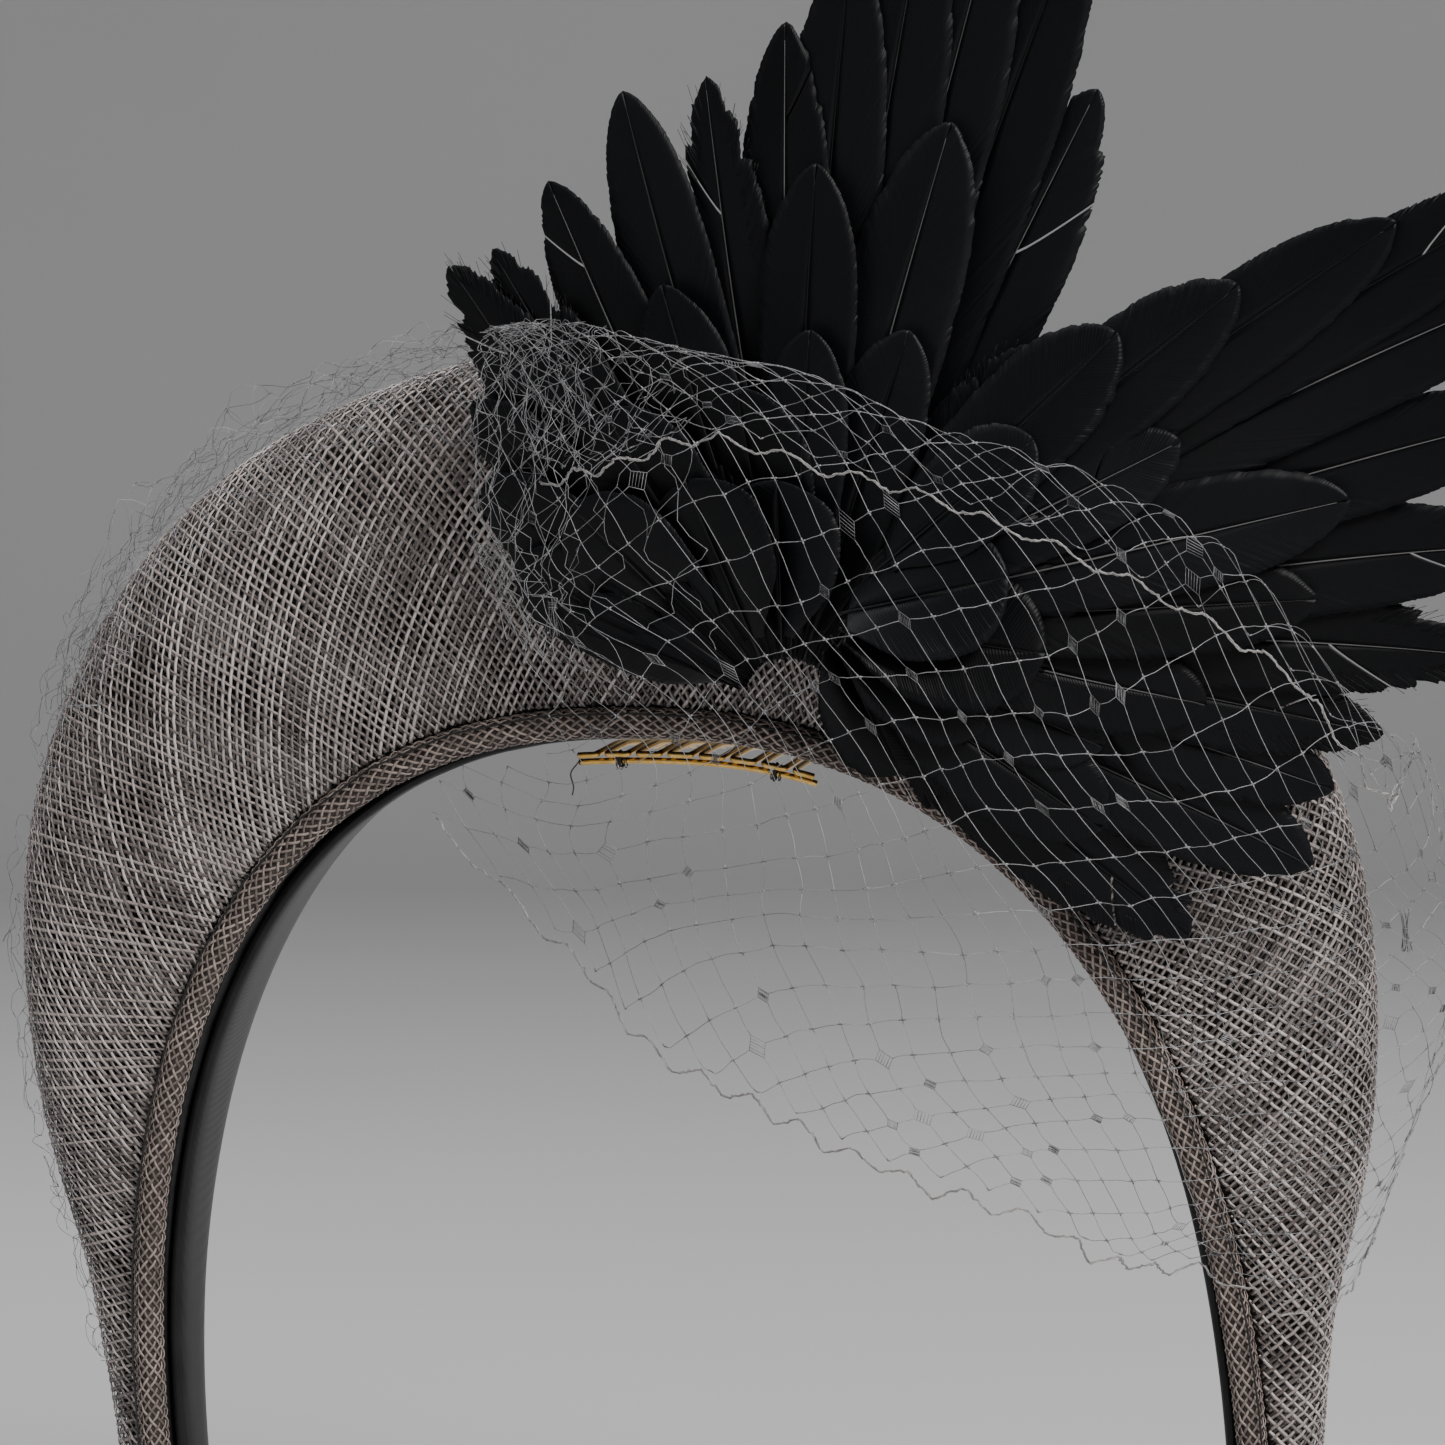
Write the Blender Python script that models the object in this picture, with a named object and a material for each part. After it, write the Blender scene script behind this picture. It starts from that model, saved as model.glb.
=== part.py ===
"""Halo fascinator headpiece: a padded sinamay crown on an Alice band, with a wire comb, two feather wings
and a spotted veil.

Units are metres and +Z is up. Every piece is drawn in the band's own frame: X to the wearer's left, Y to the
back, Z from the two arm ends to the crown, with the front inner edge of the crown in the plane y = 0. The
empty "worn_tilt" then leans that frame forward, as the band sits on a head. The origin lies midway between
the arm ends.

A place on the padded crown is given as (s, r, y): s runs along the arch from -1, the wearer's right arm end,
over the crown at 0 to +1, the wearer's left arm end, r is the distance outwards from the inner edge, and y is
the depth. A place on a wing is given in polar form about the point where its quills meet.
"""

import math

import bpy
import numpy as np

# ---- driving dimensions ------------------------------------------------------------------------------------
WORN_TILT = math.radians(13.5)
GAP = 0.0003

# The arch of the inner edge: a superellipse down to ARM_TOP, then arms that lean in to the ends.
INNER_HALF_WIDTH = 0.080
INNER_HEIGHT = 0.133
ARM_TOP = 0.0195
ARM_END_HALF_WIDTH = 0.0775
ARCH_POWER = 2.38

# Radial height and depth of the padded crown along the arch, from the crown (0) to an arm end (1).
ALONG = (0.0, 0.2, 0.4, 0.6, 0.75, 0.88, 1.0)
CROWN_HEIGHT = (0.0520, 0.0495, 0.0400, 0.0245, 0.0130, 0.0100, 0.0100)
CROWN_DEPTH = (0.0300, 0.0290, 0.0260, 0.0190, 0.0130, 0.0105, 0.0100)
CROWN_BULGE = 0.0040
COVER_START = 0.0041
FABRIC = 0.0005
STATIONS = 29
SECTION_POINTS = 10

# Alice band under the crown.
BAND_WIDTH = (0.0200, 0.0195, 0.0175, 0.0140, 0.0110, 0.0090, 0.0080)
BAND_OUTSIDE = -0.0002
BAND_INSIDE = -0.0026
BAND_WALL = 0.0004
END_CAP = 0.0032

# Rolled bindings, their wires and their stitching.
BINDING_RADIUS = 0.0019
BINDING_BORE = 0.0009
EDGE_WIRE_RADIUS = 0.0005
STITCH_RADIUS = 0.00015

# Wire comb.
COMB_LOOPS = 8
COMB_PITCH = 0.00467
COMB_FIRST_X = -0.0088
COMB_LOOP_WIDTH = 0.0033
COMB_WIRE = 0.00045
COMB_R = -0.0036
COMB_SPINE_R = -0.00485
COMB_FRONT_Y = 0.0031
COMB_SPINE_Y = 0.0042
COMB_TOOTH = 0.0260
COMB_DROP = 0.0060

# Wings: where the quills meet, the depth there and at the tips. The felt pads sit beside those places and the
# feathers overlap like shingles.
UPPER_WING = {"x": 0.0273, "z": 0.1414, "y": -0.0115, "rise": 0.010, "from": 0.040, "over": 0.090}
SIDE_WING = {"x": 0.0361, "z": 0.1575, "y": -0.0225, "rise": 0.014, "from": 0.015, "over": 0.070}
UPPER_PAD_SHIFT = (-0.0010, 0.0130)
UPPER_PAD_HALF = (0.0105, 0.0080)
UPPER_PAD_DEPTHS = (-0.0092, -0.0021)
SIDE_PAD_SHIFT = (0.0110, -0.0010)
SIDE_PAD_HALF = (0.0080, 0.0090)
SIDE_PAD_DEPTHS = (-0.0208, -0.0200)
FEATHER_THICKNESS = 0.0003
SHINGLE_PER_DEGREE = 0.00011
TIER = 0.0030
QUILL_START = 0.011

# Feathers as (length, lean from vertical in degrees, half width, bend at the root in degrees), in metres.
UPPER_LONG = [
    (0.060, -47, 0.0070, -16),
    (0.0755, -38, 0.0070, -14),
    (0.0735, -33, 0.0065, -8),
    (0.077, -24, 0.0066, -3),
    (0.0845, -14, 0.0068, 0),
    (0.0845, -6, 0.0066, 0),
    (0.0905, 1.5, 0.0066, 0),
    (0.1015, 6.5, 0.0074, 0),
    (0.109, 11.5, 0.0078, 0),
    (0.1135, 16.5, 0.0078, 0),
    (0.1135, 22, 0.0078, 0),
    (0.092, 28.5, 0.0078, 0),
]
UPPER_MIDDLE = [(0.059, -14.5, 0.0070, 0), (0.073, 5.5, 0.0072, 0), (0.0815, 18, 0.0080, 0)]
UPPER_SHORT = [(0.052, 7, 0.0064, 0), (0.055, 21, 0.0066, 0), (0.061, 36, 0.0060, 0)]
SIDE_LONG = [
    (0.1145, 61, 0.0070, 0),
    (0.1105, 67, 0.0072, 0),
    (0.101, 76.5, 0.0072, 0),
    (0.0935, 87, 0.0072, 0),
    (0.086, 97, 0.0070, 0),
    (0.0730, 106.5, 0.0066, 0),
    (0.0690, 114, 0.0066, 0),
    (0.0710, 123, 0.0074, 4),
    (0.0650, 138.5, 0.0080, 8),
]
SIDE_MIDDLE = [
    (0.0510, 66, 0.0064, 0),
    (0.0685, 80, 0.0070, 0),
    (0.0630, 91, 0.0066, 0),
    (0.0505, 106.5, 0.0066, 0),
    (0.0400, 119, 0.0064, 0),
]
SIDE_SHORT = [(0.0260, 125, 0.0064, 0), (0.0235, 157, 0.0056, 0)]

# Veil: rows run from the gather on the upper wing round to the back of the left arm. Each row holds its
# points at the upper selvedge, the top fold, the upper front, the lower front and the lower selvedge, in mm.
VEIL_ROWS = [
    [(-6, -15, 172), (-12, -17, 194), (-16, -21, 170), (-20, -15, 145), (-27, -10, 124)],
    [(6, -21, 177), (5, -25, 195), (0, -31, 165), (-1, -33, 138), (2, -38, 113)],
    [(21, -23, 181), (22, -29, 193), (24, -38, 165), (18, -45, 135), (17, -50, 105)],
    [(40, -25, 177), (40, -31, 189), (42, -44, 160), (36, -54, 130), (34, -56, 100)],
    [(57, -29, 173), (56, -33, 182), (60, -48, 155), (54, -57, 122), (49, -58, 93)],
    [(75, -26, 164), (74, -31, 175), (78, -44, 146), (72, -51, 114), (64, -54, 87)],
    [(90, -20, 152), (91, -25, 162), (93, -36, 136), (88, -38, 105), (74, -40, 75)],
    [(102, -14, 137), (105, -18, 145), (106, -23, 125), (102, -19, 96), (82, -22, 66)],
    [(106, -5, 128), (110, -6, 132), (112, -5, 116), (112, -2, 95), (94, -10, 56)],
    [(103, 17, 124), (105, 17, 130), (110, 17, 113), (109, 16, 94), (99, 11, 62)],
]
VEIL_ACROSS = (0.0, 0.13, 0.35, 0.68, 1.0)
VEIL_THICKNESS = 0.0008
# The tail of the veil: its reach along the arch, round the section in half turns, and its puff.
TAIL_ALONG = (-0.80, 0.0)
TAIL_ROUND = (0.30, 0.74)
TAIL_PUFF = 0.0034
SELVEDGE_RADIUS = 0.00035
ZIGZAG_PITCH = 0.0052
ZIGZAG_DEPTH = 0.0024


# ---- scene and materials -----------------------------------------------------------------------------------
def clear_scene():
    for obj in list(bpy.data.objects):
        bpy.data.objects.remove(obj)


def material(name, colour, roughness, metallic=0.0):
    mat = bpy.data.materials.new(name)
    mat.use_nodes = True
    shader = mat.node_tree.nodes["Principled BSDF"]
    shader.inputs["Base Color"].default_value = (*colour, 1.0)
    shader.inputs["Roughness"].default_value = roughness
    shader.inputs["Metallic"].default_value = metallic
    mat.diffuse_color = (*colour, 1.0)
    return mat


def finishes():
    return {
        "sinamay": material("sinamay", (0.235, 0.210, 0.195), 0.62),
        "binding": material("binding", (0.155, 0.125, 0.115), 0.65),
        "satin": material("satin", (0.012, 0.012, 0.013), 0.32),
        "padding": material("padding", (0.06, 0.06, 0.06), 0.9),
        "lining": material("lining", (0.02, 0.02, 0.02), 0.85),
        "plastic": material("plastic", (0.03, 0.03, 0.03), 0.45),
        "steel": material("steel", (0.45, 0.45, 0.46), 0.35, 1.0),
        "gold": material("gold", (0.72, 0.50, 0.16), 0.28, 1.0),
        "thread": material("thread", (0.02, 0.02, 0.02), 0.7),
        "feather": material("feather", (0.010, 0.011, 0.013), 0.48),
        "felt": material("felt", (0.015, 0.015, 0.015), 0.95),
        "net": material("net", (0.42, 0.42, 0.43), 0.5),
    }


# ---- curves and profiles -----------------------------------------------------------------------------------
def smooth_profile(x, knots, values):
    """A monotone cubic through (knots, values), read at x."""
    knots, values = np.asarray(knots, float), np.asarray(values, float)
    steps = np.diff(knots)
    slopes = np.diff(values) / steps
    ends = np.zeros(len(knots))
    for i in range(1, len(knots) - 1):
        if slopes[i - 1] * slopes[i] > 0:
            ends[i] = 2 * slopes[i - 1] * slopes[i] / (slopes[i - 1] + slopes[i])
    k = int(np.clip(np.searchsorted(knots, x) - 1, 0, len(steps) - 1))
    t = (x - knots[k]) / steps[k]
    start, end = values[k], values[k + 1]
    return (
        start * (1 + 2 * t) * (1 - t) ** 2
        + end * t * t * (3 - 2 * t)
        + steps[k] * t * (1 - t) * (ends[k] * (1 - t) - ends[k + 1] * t)
    )


def smooth_step(t):
    t = min(max(t, 0.0), 1.0)
    return t * t * (3 - 2 * t)


def arch_table(steps=240):
    """The inner edge from the crown to the left arm end: (share of its length, x, z) rows."""
    rise = INNER_HEIGHT - ARM_TOP
    points = []
    for i in range(steps + 1):
        angle = math.pi / 2 * (1 - i / steps)
        reach = (math.cos(angle) / INNER_HALF_WIDTH) ** ARCH_POWER + (math.sin(angle) / rise) ** ARCH_POWER
        radius = reach ** (-1 / ARCH_POWER)
        points.append((radius * math.cos(angle), ARM_TOP + radius * math.sin(angle)))
    arm_steps = steps // 6
    for i in range(1, arm_steps + 1):
        t = i / arm_steps
        lean = (INNER_HALF_WIDTH - ARM_END_HALF_WIDTH) * t * t
        points.append((INNER_HALF_WIDTH - lean, ARM_TOP * (1 - t)))
    points = np.array(points)
    lengths = np.concatenate([[0], np.cumsum(np.linalg.norm(np.diff(points, axis=0), axis=1))])
    return lengths / lengths[-1], points, lengths[-1]


ARCH_SHARE, ARCH_POINTS, ARCH_HALF_LENGTH = arch_table()


def arch(s):
    """The inner edge's point and its outward direction at s, as (x, z) pairs. It goes on straight past |s| = 1."""
    side = 1.0 if s >= 0 else -1.0
    a = min(abs(s), 1.0)

    def at(share):
        return np.array([np.interp(share, ARCH_SHARE, ARCH_POINTS[:, k]) for k in (0, 1)])

    point = at(a)
    step = 0.01
    tangent = at(min(a + step, 1.0)) - at(a - step if a >= step else 0.0)
    if a < step:
        tangent = np.array([tangent[0], tangent[1] * a / step])
    tangent /= np.linalg.norm(tangent)
    point = point + tangent * max(abs(s) - 1.0, 0.0) * ARCH_HALF_LENGTH
    outward = np.array([-tangent[1], tangent[0]])
    return point * (side, 1), outward * (side, 1)


def on_crown(s, r, y):
    """The point at (s, r, y)."""
    point, outward = arch(s)
    place = point + outward * r
    return (place[0], y, place[1])


def height_at(s):
    return smooth_profile(min(abs(s), 1.0), ALONG, CROWN_HEIGHT)


def depth_at(s):
    return smooth_profile(min(abs(s), 1.0), ALONG, CROWN_DEPTH)


def band_width_at(s):
    return smooth_profile(min(abs(s), 1.0), ALONG, BAND_WIDTH)


def crown_section(s, inset):
    """(r, y) points of the crown's front, top and back at s. Every layer has its points at the same angles."""
    height, depth = height_at(s) - inset, depth_at(s) - 2 * inset
    bulge = CROWN_BULGE * height_at(s) / CROWN_HEIGHT[0]
    first = math.asin(COVER_START / height_at(s))
    points = []
    for i in range(SECTION_POINTS):
        t = first + (math.pi - 2 * first) * i / (SECTION_POINTS - 1)
        y = inset + depth / 2 * (1 - math.cos(t)) - bulge * math.sin(2 * t)
        points.append((height * math.sin(t), y))
    return points


def stations(end=1.0, count=STATIONS):
    return [end * (2 * i / (count - 1) - 1) for i in range(count)]


# ---- meshes ------------------------------------------------------------------------------------------------
def add_object(name, data, mat, tilt):
    obj = bpy.data.objects.new(name, data)
    bpy.context.scene.collection.objects.link(obj)
    data.materials.append(mat)
    obj.parent = tilt
    return obj


def mesh_object(name, points, faces, mat, tilt, smooth=True):
    mesh = bpy.data.meshes.new(name)
    mesh.from_pydata([tuple(map(float, p)) for p in points], [], faces)
    mesh.validate()
    mesh.update()
    if smooth:
        mesh.shade_smooth()
        mesh.set_sharp_from_angle(angle=math.radians(40))
    return add_object(name, mesh, mat, tilt)


def outward_faces(points, faces):
    """The faces, all turned over if the solid that they close is inside out."""
    p = np.array(points, float)
    volume = 0.0
    for face in faces:
        for i in range(1, len(face) - 1):
            a, b, c = p[face[0]], p[face[i]], p[face[i + 1]]
            volume += np.dot(a, np.cross(b, c))
    return faces if volume > 0 else [tuple(reversed(f)) for f in faces]


def solid_from_sheets(name, front, back, mat, tilt):
    """A thin closed solid between two grids of the same size."""
    rows, columns = len(front), len(front[0])
    points = [p for row in front for p in row] + [p for row in back for p in row]
    half = rows * columns

    def at(i, j, side):
        return side * half + i * columns + j

    faces = []
    for i in range(rows - 1):
        for j in range(columns - 1):
            faces.append((at(i, j, 0), at(i, j + 1, 0), at(i + 1, j + 1, 0), at(i + 1, j, 0)))
            faces.append((at(i, j, 1), at(i + 1, j, 1), at(i + 1, j + 1, 1), at(i, j + 1, 1)))
    for i in range(rows - 1):
        for j in (0, columns - 1):
            a, b, c, d = at(i, j, 0), at(i + 1, j, 0), at(i + 1, j, 1), at(i, j, 1)
            faces.append((a, b, c, d) if j == 0 else (d, c, b, a))
    for j in range(columns - 1):
        for i in (0, rows - 1):
            a, b, c, d = at(i, j, 0), at(i, j + 1, 0), at(i, j + 1, 1), at(i, j, 1)
            faces.append((d, c, b, a) if i == 0 else (a, b, c, d))
    return mesh_object(name, points, outward_faces(points, faces), mat, tilt)


def ring_faces(rings, count, first=0):
    faces = []
    for i in range(rings - 1):
        for j in range(count):
            a, b = first + i * count + j, first + i * count + (j + 1) % count
            faces.append((a, b, b + count, a + count))
    return faces


def solid_from_rings(name, rings, mat, tilt, smooth=True):
    """A closed solid through rings of points, flat at both ends."""
    count = len(rings[0])
    points = [p for ring in rings for p in ring]
    faces = ring_faces(len(rings), count)
    faces.append(tuple(reversed(range(count))))
    faces.append(tuple(range(len(points) - count, len(points))))
    return mesh_object(name, points, outward_faces(points, faces), mat, tilt, smooth)


def sleeve_from_rings(name, outer, inner, mat, tilt):
    """A closed sleeve, open at both ends, between outer and inner rings of as many points."""
    count = len(outer[0])
    points = [p for ring in outer for p in ring] + [p for ring in inner for p in ring]
    half = len(outer) * count
    faces = ring_faces(len(outer), count)
    faces += [tuple(reversed(f)) for f in ring_faces(len(inner), count, half)]
    last = half - count
    for j in range(count):
        k = (j + 1) % count
        faces.append((k, j, half + j, half + k))
        faces.append((last + j, last + k, half + last + k, half + last + j))
    return mesh_object(name, points, outward_faces(points, faces), mat, tilt)


def wire_object(name, points, radius, mat, tilt, sides=6, closed=False):
    """A round wire along the points."""
    curve = bpy.data.curves.new(name, "CURVE")
    curve.dimensions = "3D"
    curve.bevel_depth = radius
    curve.bevel_resolution = (sides - 4) // 2
    curve.use_fill_caps = not closed
    spline = curve.splines.new("POLY")
    spline.points.add(len(points) - 1)
    for spot, point in zip(spline.points, points):
        spot.co = (*point, 1.0)
    spline.use_cyclic_u = closed
    return add_object(name, curve, mat, tilt)


# ---- Alice band --------------------------------------------------------------------------------------------
def box_ring(s, inside, outside, front, back):
    corners = [(inside, front), (outside, front), (outside, back), (inside, back)]
    return [on_crown(s, r, y) for r, y in corners]


def band_ring(s, inset):
    middle, half = depth_at(s) / 2, band_width_at(s) / 2 - inset
    return box_ring(s, BAND_INSIDE + inset, BAND_OUTSIDE - inset, middle - half, middle + half)


def make_band(mats, tilt):
    clear = BAND_WALL + GAP
    solid_from_rings("band_core", [band_ring(s, clear) for s in stations()], mats["plastic"], tilt)
    outer = [band_ring(s, 0.0) for s in stations()]
    inner = [band_ring(s, BAND_WALL) for s in stations()]
    sleeve_from_rings("band_cover", outer, inner, mats["satin"], tilt)


def make_end_cap(name, side, mats, tilt):
    """The folded ribbon that closes an arm: a block past the arm's end, with a flat end to rest on."""
    start, end = 1 + GAP / ARCH_HALF_LENGTH, 1 + (GAP + END_CAP) / ARCH_HALF_LENGTH
    depth, top = depth_at(1), height_at(1)
    rings = []
    for s in (start, end):
        rings.append(box_ring(side * s, BAND_INSIDE, top + 0.0002, -BINDING_RADIUS, depth + BINDING_RADIUS))
    solid_from_rings(name, rings, mats["satin"], tilt, smooth=False)


# ---- padded crown ------------------------------------------------------------------------------------------
def make_shell(name, inset, mats, tilt):
    """A fabric layer over the front, top and back of the crown, open along its base."""
    outer, inner = [], []
    for s in stations():
        outer.append([on_crown(s, r, y) for r, y in crown_section(s, inset)])
        inner.append([on_crown(s, r, y) for r, y in crown_section(s, inset + FABRIC)])
    solid_from_sheets(name, outer, inner, mats["sinamay"], tilt)


def make_padding(mats, tilt):
    inset, base, edge = 2 * FABRIC + 2.4 * GAP, 0.0012, 0.0018
    rings = []
    for s in stations():
        section = [(base, edge), *crown_section(s, inset), (base, depth_at(s) - edge)]
        rings.append([on_crown(s, r, y) for r, y in section])
    solid_from_rings("crown_padding", rings, mats["padding"], tilt)


def make_lining(mats, tilt):
    """The strip that closes the crown's base, over the band."""
    low, high, edge = 0.0002, 0.0002 + FABRIC, 0.0016
    rings = [box_ring(s, low, high, edge, depth_at(s) - edge) for s in stations()]
    solid_from_rings("base_lining", rings, mats["lining"], tilt)


def round_ring(s, r, y, radius, count=8):
    turn = 2 * math.pi / count
    return [
        on_crown(s, r + radius * math.cos(turn * k), y + radius * math.sin(turn * k)) for k in range(count)
    ]


def make_binding(name, wire_name, stitch_name, front, mats, tilt):
    """A rolled bias binding, the edge wire inside it and the stitching beside it."""
    out = 0.0006

    def centre_y(s):
        return -out if front else depth_at(s) + out

    outer = [round_ring(s, BINDING_RADIUS, centre_y(s), BINDING_RADIUS) for s in stations()]
    inner = [round_ring(s, BINDING_RADIUS, centre_y(s), BINDING_BORE) for s in stations()]
    sleeve_from_rings(name, outer, inner, mats["binding"], tilt)
    route = [on_crown(s, BINDING_RADIUS, centre_y(s)) for s in stations()]
    wire_object(wire_name, route, EDGE_WIRE_RADIUS, mats["steel"], tilt)
    beside = BINDING_RADIUS * 1.6 + STITCH_RADIUS
    lift = -0.0019 if front else 0.0019
    route = [on_crown(s, beside + 0.0006, centre_y(s) + lift) for s in stations()]
    wire_object(stitch_name, route, STITCH_RADIUS, mats["thread"], tilt, sides=4)


# ---- wire comb ---------------------------------------------------------------------------------------------
def s_at_x(x):
    """The share along the arch above x, near the crown."""
    return math.copysign(np.interp(abs(x), ARCH_POINTS[:200, 0], ARCH_SHARE[:200]), x)


def make_comb(mats, tilt):
    """One wire bent to and fro into eight loops and their teeth, and the spine that is sewn to the band."""
    route = []
    half, tip = COMB_LOOP_WIDTH / 2, COMB_FRONT_Y + COMB_TOOTH
    tooth = [(0.0012, 0.0), (0.45 * COMB_TOOTH, 0.25), (COMB_TOOTH - 0.0007, 0.97)]

    def along_tooth(x, inwards):
        spots = [
            on_crown(s_at_x(x), COMB_R - COMB_DROP * drop, COMB_FRONT_Y + back) for back, drop in tooth
        ]
        return spots if inwards else spots[::-1]

    for k in range(COMB_LOOPS):
        middle = COMB_FIRST_X + k * COMB_PITCH
        if k:
            route += along_tooth(middle - half, inwards=False)
        for x in (middle - half + 0.0004, middle, middle + half - 0.0004):
            route.append(on_crown(s_at_x(x), COMB_R, COMB_FRONT_Y))
        if k < COMB_LOOPS - 1:
            route += along_tooth(middle + half, inwards=True)
            between = middle + COMB_PITCH / 2
            route.append(on_crown(s_at_x(between), COMB_R - COMB_DROP, tip))
    wire_object("comb_teeth", route, COMB_WIRE, mats["gold"], tilt)
    first, last = COMB_FIRST_X - half, COMB_FIRST_X + (COMB_LOOPS - 1) * COMB_PITCH + half
    spots = [first + (last - first) * i / 11 for i in range(12)]
    spine = [on_crown(s_at_x(x), COMB_SPINE_R, COMB_SPINE_Y) for x in spots]
    wire_object("comb_spine", spine, COMB_WIRE, mats["gold"], tilt)


def make_comb_stitch(name, loop, mats, tilt):
    """A thread loop round the comb's spine, in the middle of one comb loop."""
    s = s_at_x(COMB_FIRST_X + loop * COMB_PITCH)
    turn, count = 2 * math.pi / 12, 12
    route = []
    for k in range(count):
        r = COMB_SPINE_R + 0.0001 + 0.00125 * math.cos(turn * k)
        route.append(on_crown(s, r, COMB_SPINE_Y + 0.00015 + 0.0011 * math.sin(turn * k)))
    wire_object(name, route, 0.0002, mats["thread"], tilt, sides=4, closed=True)


# ---- wings -------------------------------------------------------------------------------------------------
def wing_depth(wing, rho):
    return wing["y"] + wing["rise"] * smooth_step((rho - wing["from"]) / wing["over"])


def feather_width(t):
    """Half width along a feather from its quill end (0) to its tip (1), as a share of the widest."""
    knots = (0.0, 0.08, 0.2, 0.38, 0.6, 0.8, 0.92, 1.0)
    return smooth_profile(t, knots, (0.10, 0.13, 0.45, 0.85, 1.0, 0.86, 0.58, 0.10))


def make_feather(name, wing, tier, feather, mats, tilt):
    """A thin blade. Its two edges lean so that each blade of a tier passes over its neighbour."""
    length, lean, half_width, bend = feather
    start = QUILL_START if length > 0.03 else 0.004
    front, back = [], []
    for t in (0.0, 0.08, 0.2, 0.38, 0.6, 0.8, 0.93, 1.0):
        rho = start + (length - start) * t
        middle = lean + bend * (1 - t) ** 2
        row_front, row_back = [], []
        for side in (-1, 0, 1):
            offset = side * half_width * feather_width(t)
            here = middle + math.degrees(math.atan2(offset, rho))
            reach = math.hypot(rho, offset)
            angle = math.radians(here)
            y = wing_depth(wing, reach) - tier * TIER - SHINGLE_PER_DEGREE * (here - lean)
            x, z = wing["x"] + reach * math.sin(angle), wing["z"] + reach * math.cos(angle)
            row_front.append((x, y - FEATHER_THICKNESS / 2, z))
            row_back.append((x, y + FEATHER_THICKNESS / 2, z))
        front.append(row_front)
        back.append(row_back)
    solid_from_sheets(name, front, back, mats["feather"], tilt)


def make_wing(prefix, wing, tiers, mats, tilt):
    for tier, (label, feathers) in enumerate(tiers):
        for number, feather in enumerate(feathers, 1):
            make_feather(f"{prefix}_{label}_{number:02d}", wing, tier, feather, mats, tilt)


def make_wing_pad(name, wing, shift, half, depths, mats, tilt):
    """The felt block that the quills of a wing are sewn to."""
    rings = []
    for y in depths:
        ring = []
        for k in range(16):
            turn = 2 * math.pi * k / 16
            x = wing["x"] + shift[0] + half[0] * math.cos(turn)
            ring.append((x, y, wing["z"] + shift[1] + half[1] * math.sin(turn)))
        rings.append(ring)
    solid_from_rings(name, rings, mats["felt"], tilt, smooth=False)


# ---- veil --------------------------------------------------------------------------------------------------
def curve_through(points, t):
    """A Catmull-Rom curve through the points, read at t from 0 to 1."""
    points = np.asarray(points, float)
    spans = len(points) - 1
    k = min(int(t * spans), spans - 1)
    f = t * spans - k
    a = points[k - 1] if k > 0 else 2 * points[0] - points[1]
    b, c = points[k], points[k + 1]
    d = points[k + 2] if k + 2 <= spans else 2 * points[spans] - points[spans - 1]
    return 0.5 * (2 * b + (c - a) * f + (2 * a - 5 * b + 4 * c - d) * f**2 + (3 * b - a - 3 * c + d) * f**3)


def veil_point(u, v):
    """The veil's middle surface: u from the left gather to the right one, v from upper to lower selvedge."""
    spans = len(VEIL_ACROSS) - 1
    share = float(np.interp(v, VEIL_ACROSS, [i / spans for i in range(spans + 1)]))
    across = [curve_through([row[k] for row in VEIL_ROWS], u) for k in range(spans + 1)]
    return curve_through(across, share) / 1000


def veil_normal(u, v):
    step = 0.004
    low_u, high_u = max(u - step, 0), min(u + step, 1)
    low_v, high_v = max(v - step, 0), min(v + step, 1)
    along = veil_point(high_u, v) - veil_point(low_u, v)
    across = veil_point(u, high_v) - veil_point(u, low_v)
    normal = np.cross(along, across)
    return normal / np.linalg.norm(normal)


def make_net(mats, tilt):
    columns, rows = 28, 13
    front, back = [], []
    for i in range(columns):
        u = i / (columns - 1)
        row_front, row_back = [], []
        for j in range(rows):
            v = j / (rows - 1)
            middle, normal = veil_point(u, v), veil_normal(u, v) * VEIL_THICKNESS / 2
            row_front.append(middle + normal)
            row_back.append(middle - normal)
        front.append(row_front)
        back.append(row_back)
    solid_from_sheets("veil_net", front, back, mats["net"], tilt)


def tail_point(u, v, lift):
    """A point over the crown where the tail of the veil lies: u along the arch, v from front to back."""
    s = TAIL_ALONG[0] + (TAIL_ALONG[1] - TAIL_ALONG[0]) * u
    turn = math.pi * (TAIL_ROUND[0] + (TAIL_ROUND[1] - TAIL_ROUND[0]) * v)
    proud = GAP + TAIL_PUFF * math.sin(math.pi * u) * math.sin(math.pi * v) + lift
    height, depth = height_at(s) + proud, depth_at(s) + 2 * proud
    bulge = CROWN_BULGE * height_at(s) / CROWN_HEIGHT[0]
    y = depth / 2 * (1 - math.cos(turn)) - bulge * math.sin(2 * turn) - proud
    return on_crown(s, height * math.sin(turn), y)


def make_veil_tail(mats, tilt):
    """The end of the net that puffs out over the crown behind the upper wing."""
    columns, rows = 19, 8
    sheets = []
    for lift in (VEIL_THICKNESS, 0.0):
        sheet = []
        for i in range(columns):
            sheet.append([tail_point(i / (columns - 1), j / (rows - 1), lift) for j in range(rows)])
        sheets.append(sheet)
    solid_from_sheets("veil_tail", sheets[0], sheets[1], mats["net"], tilt)


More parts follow.
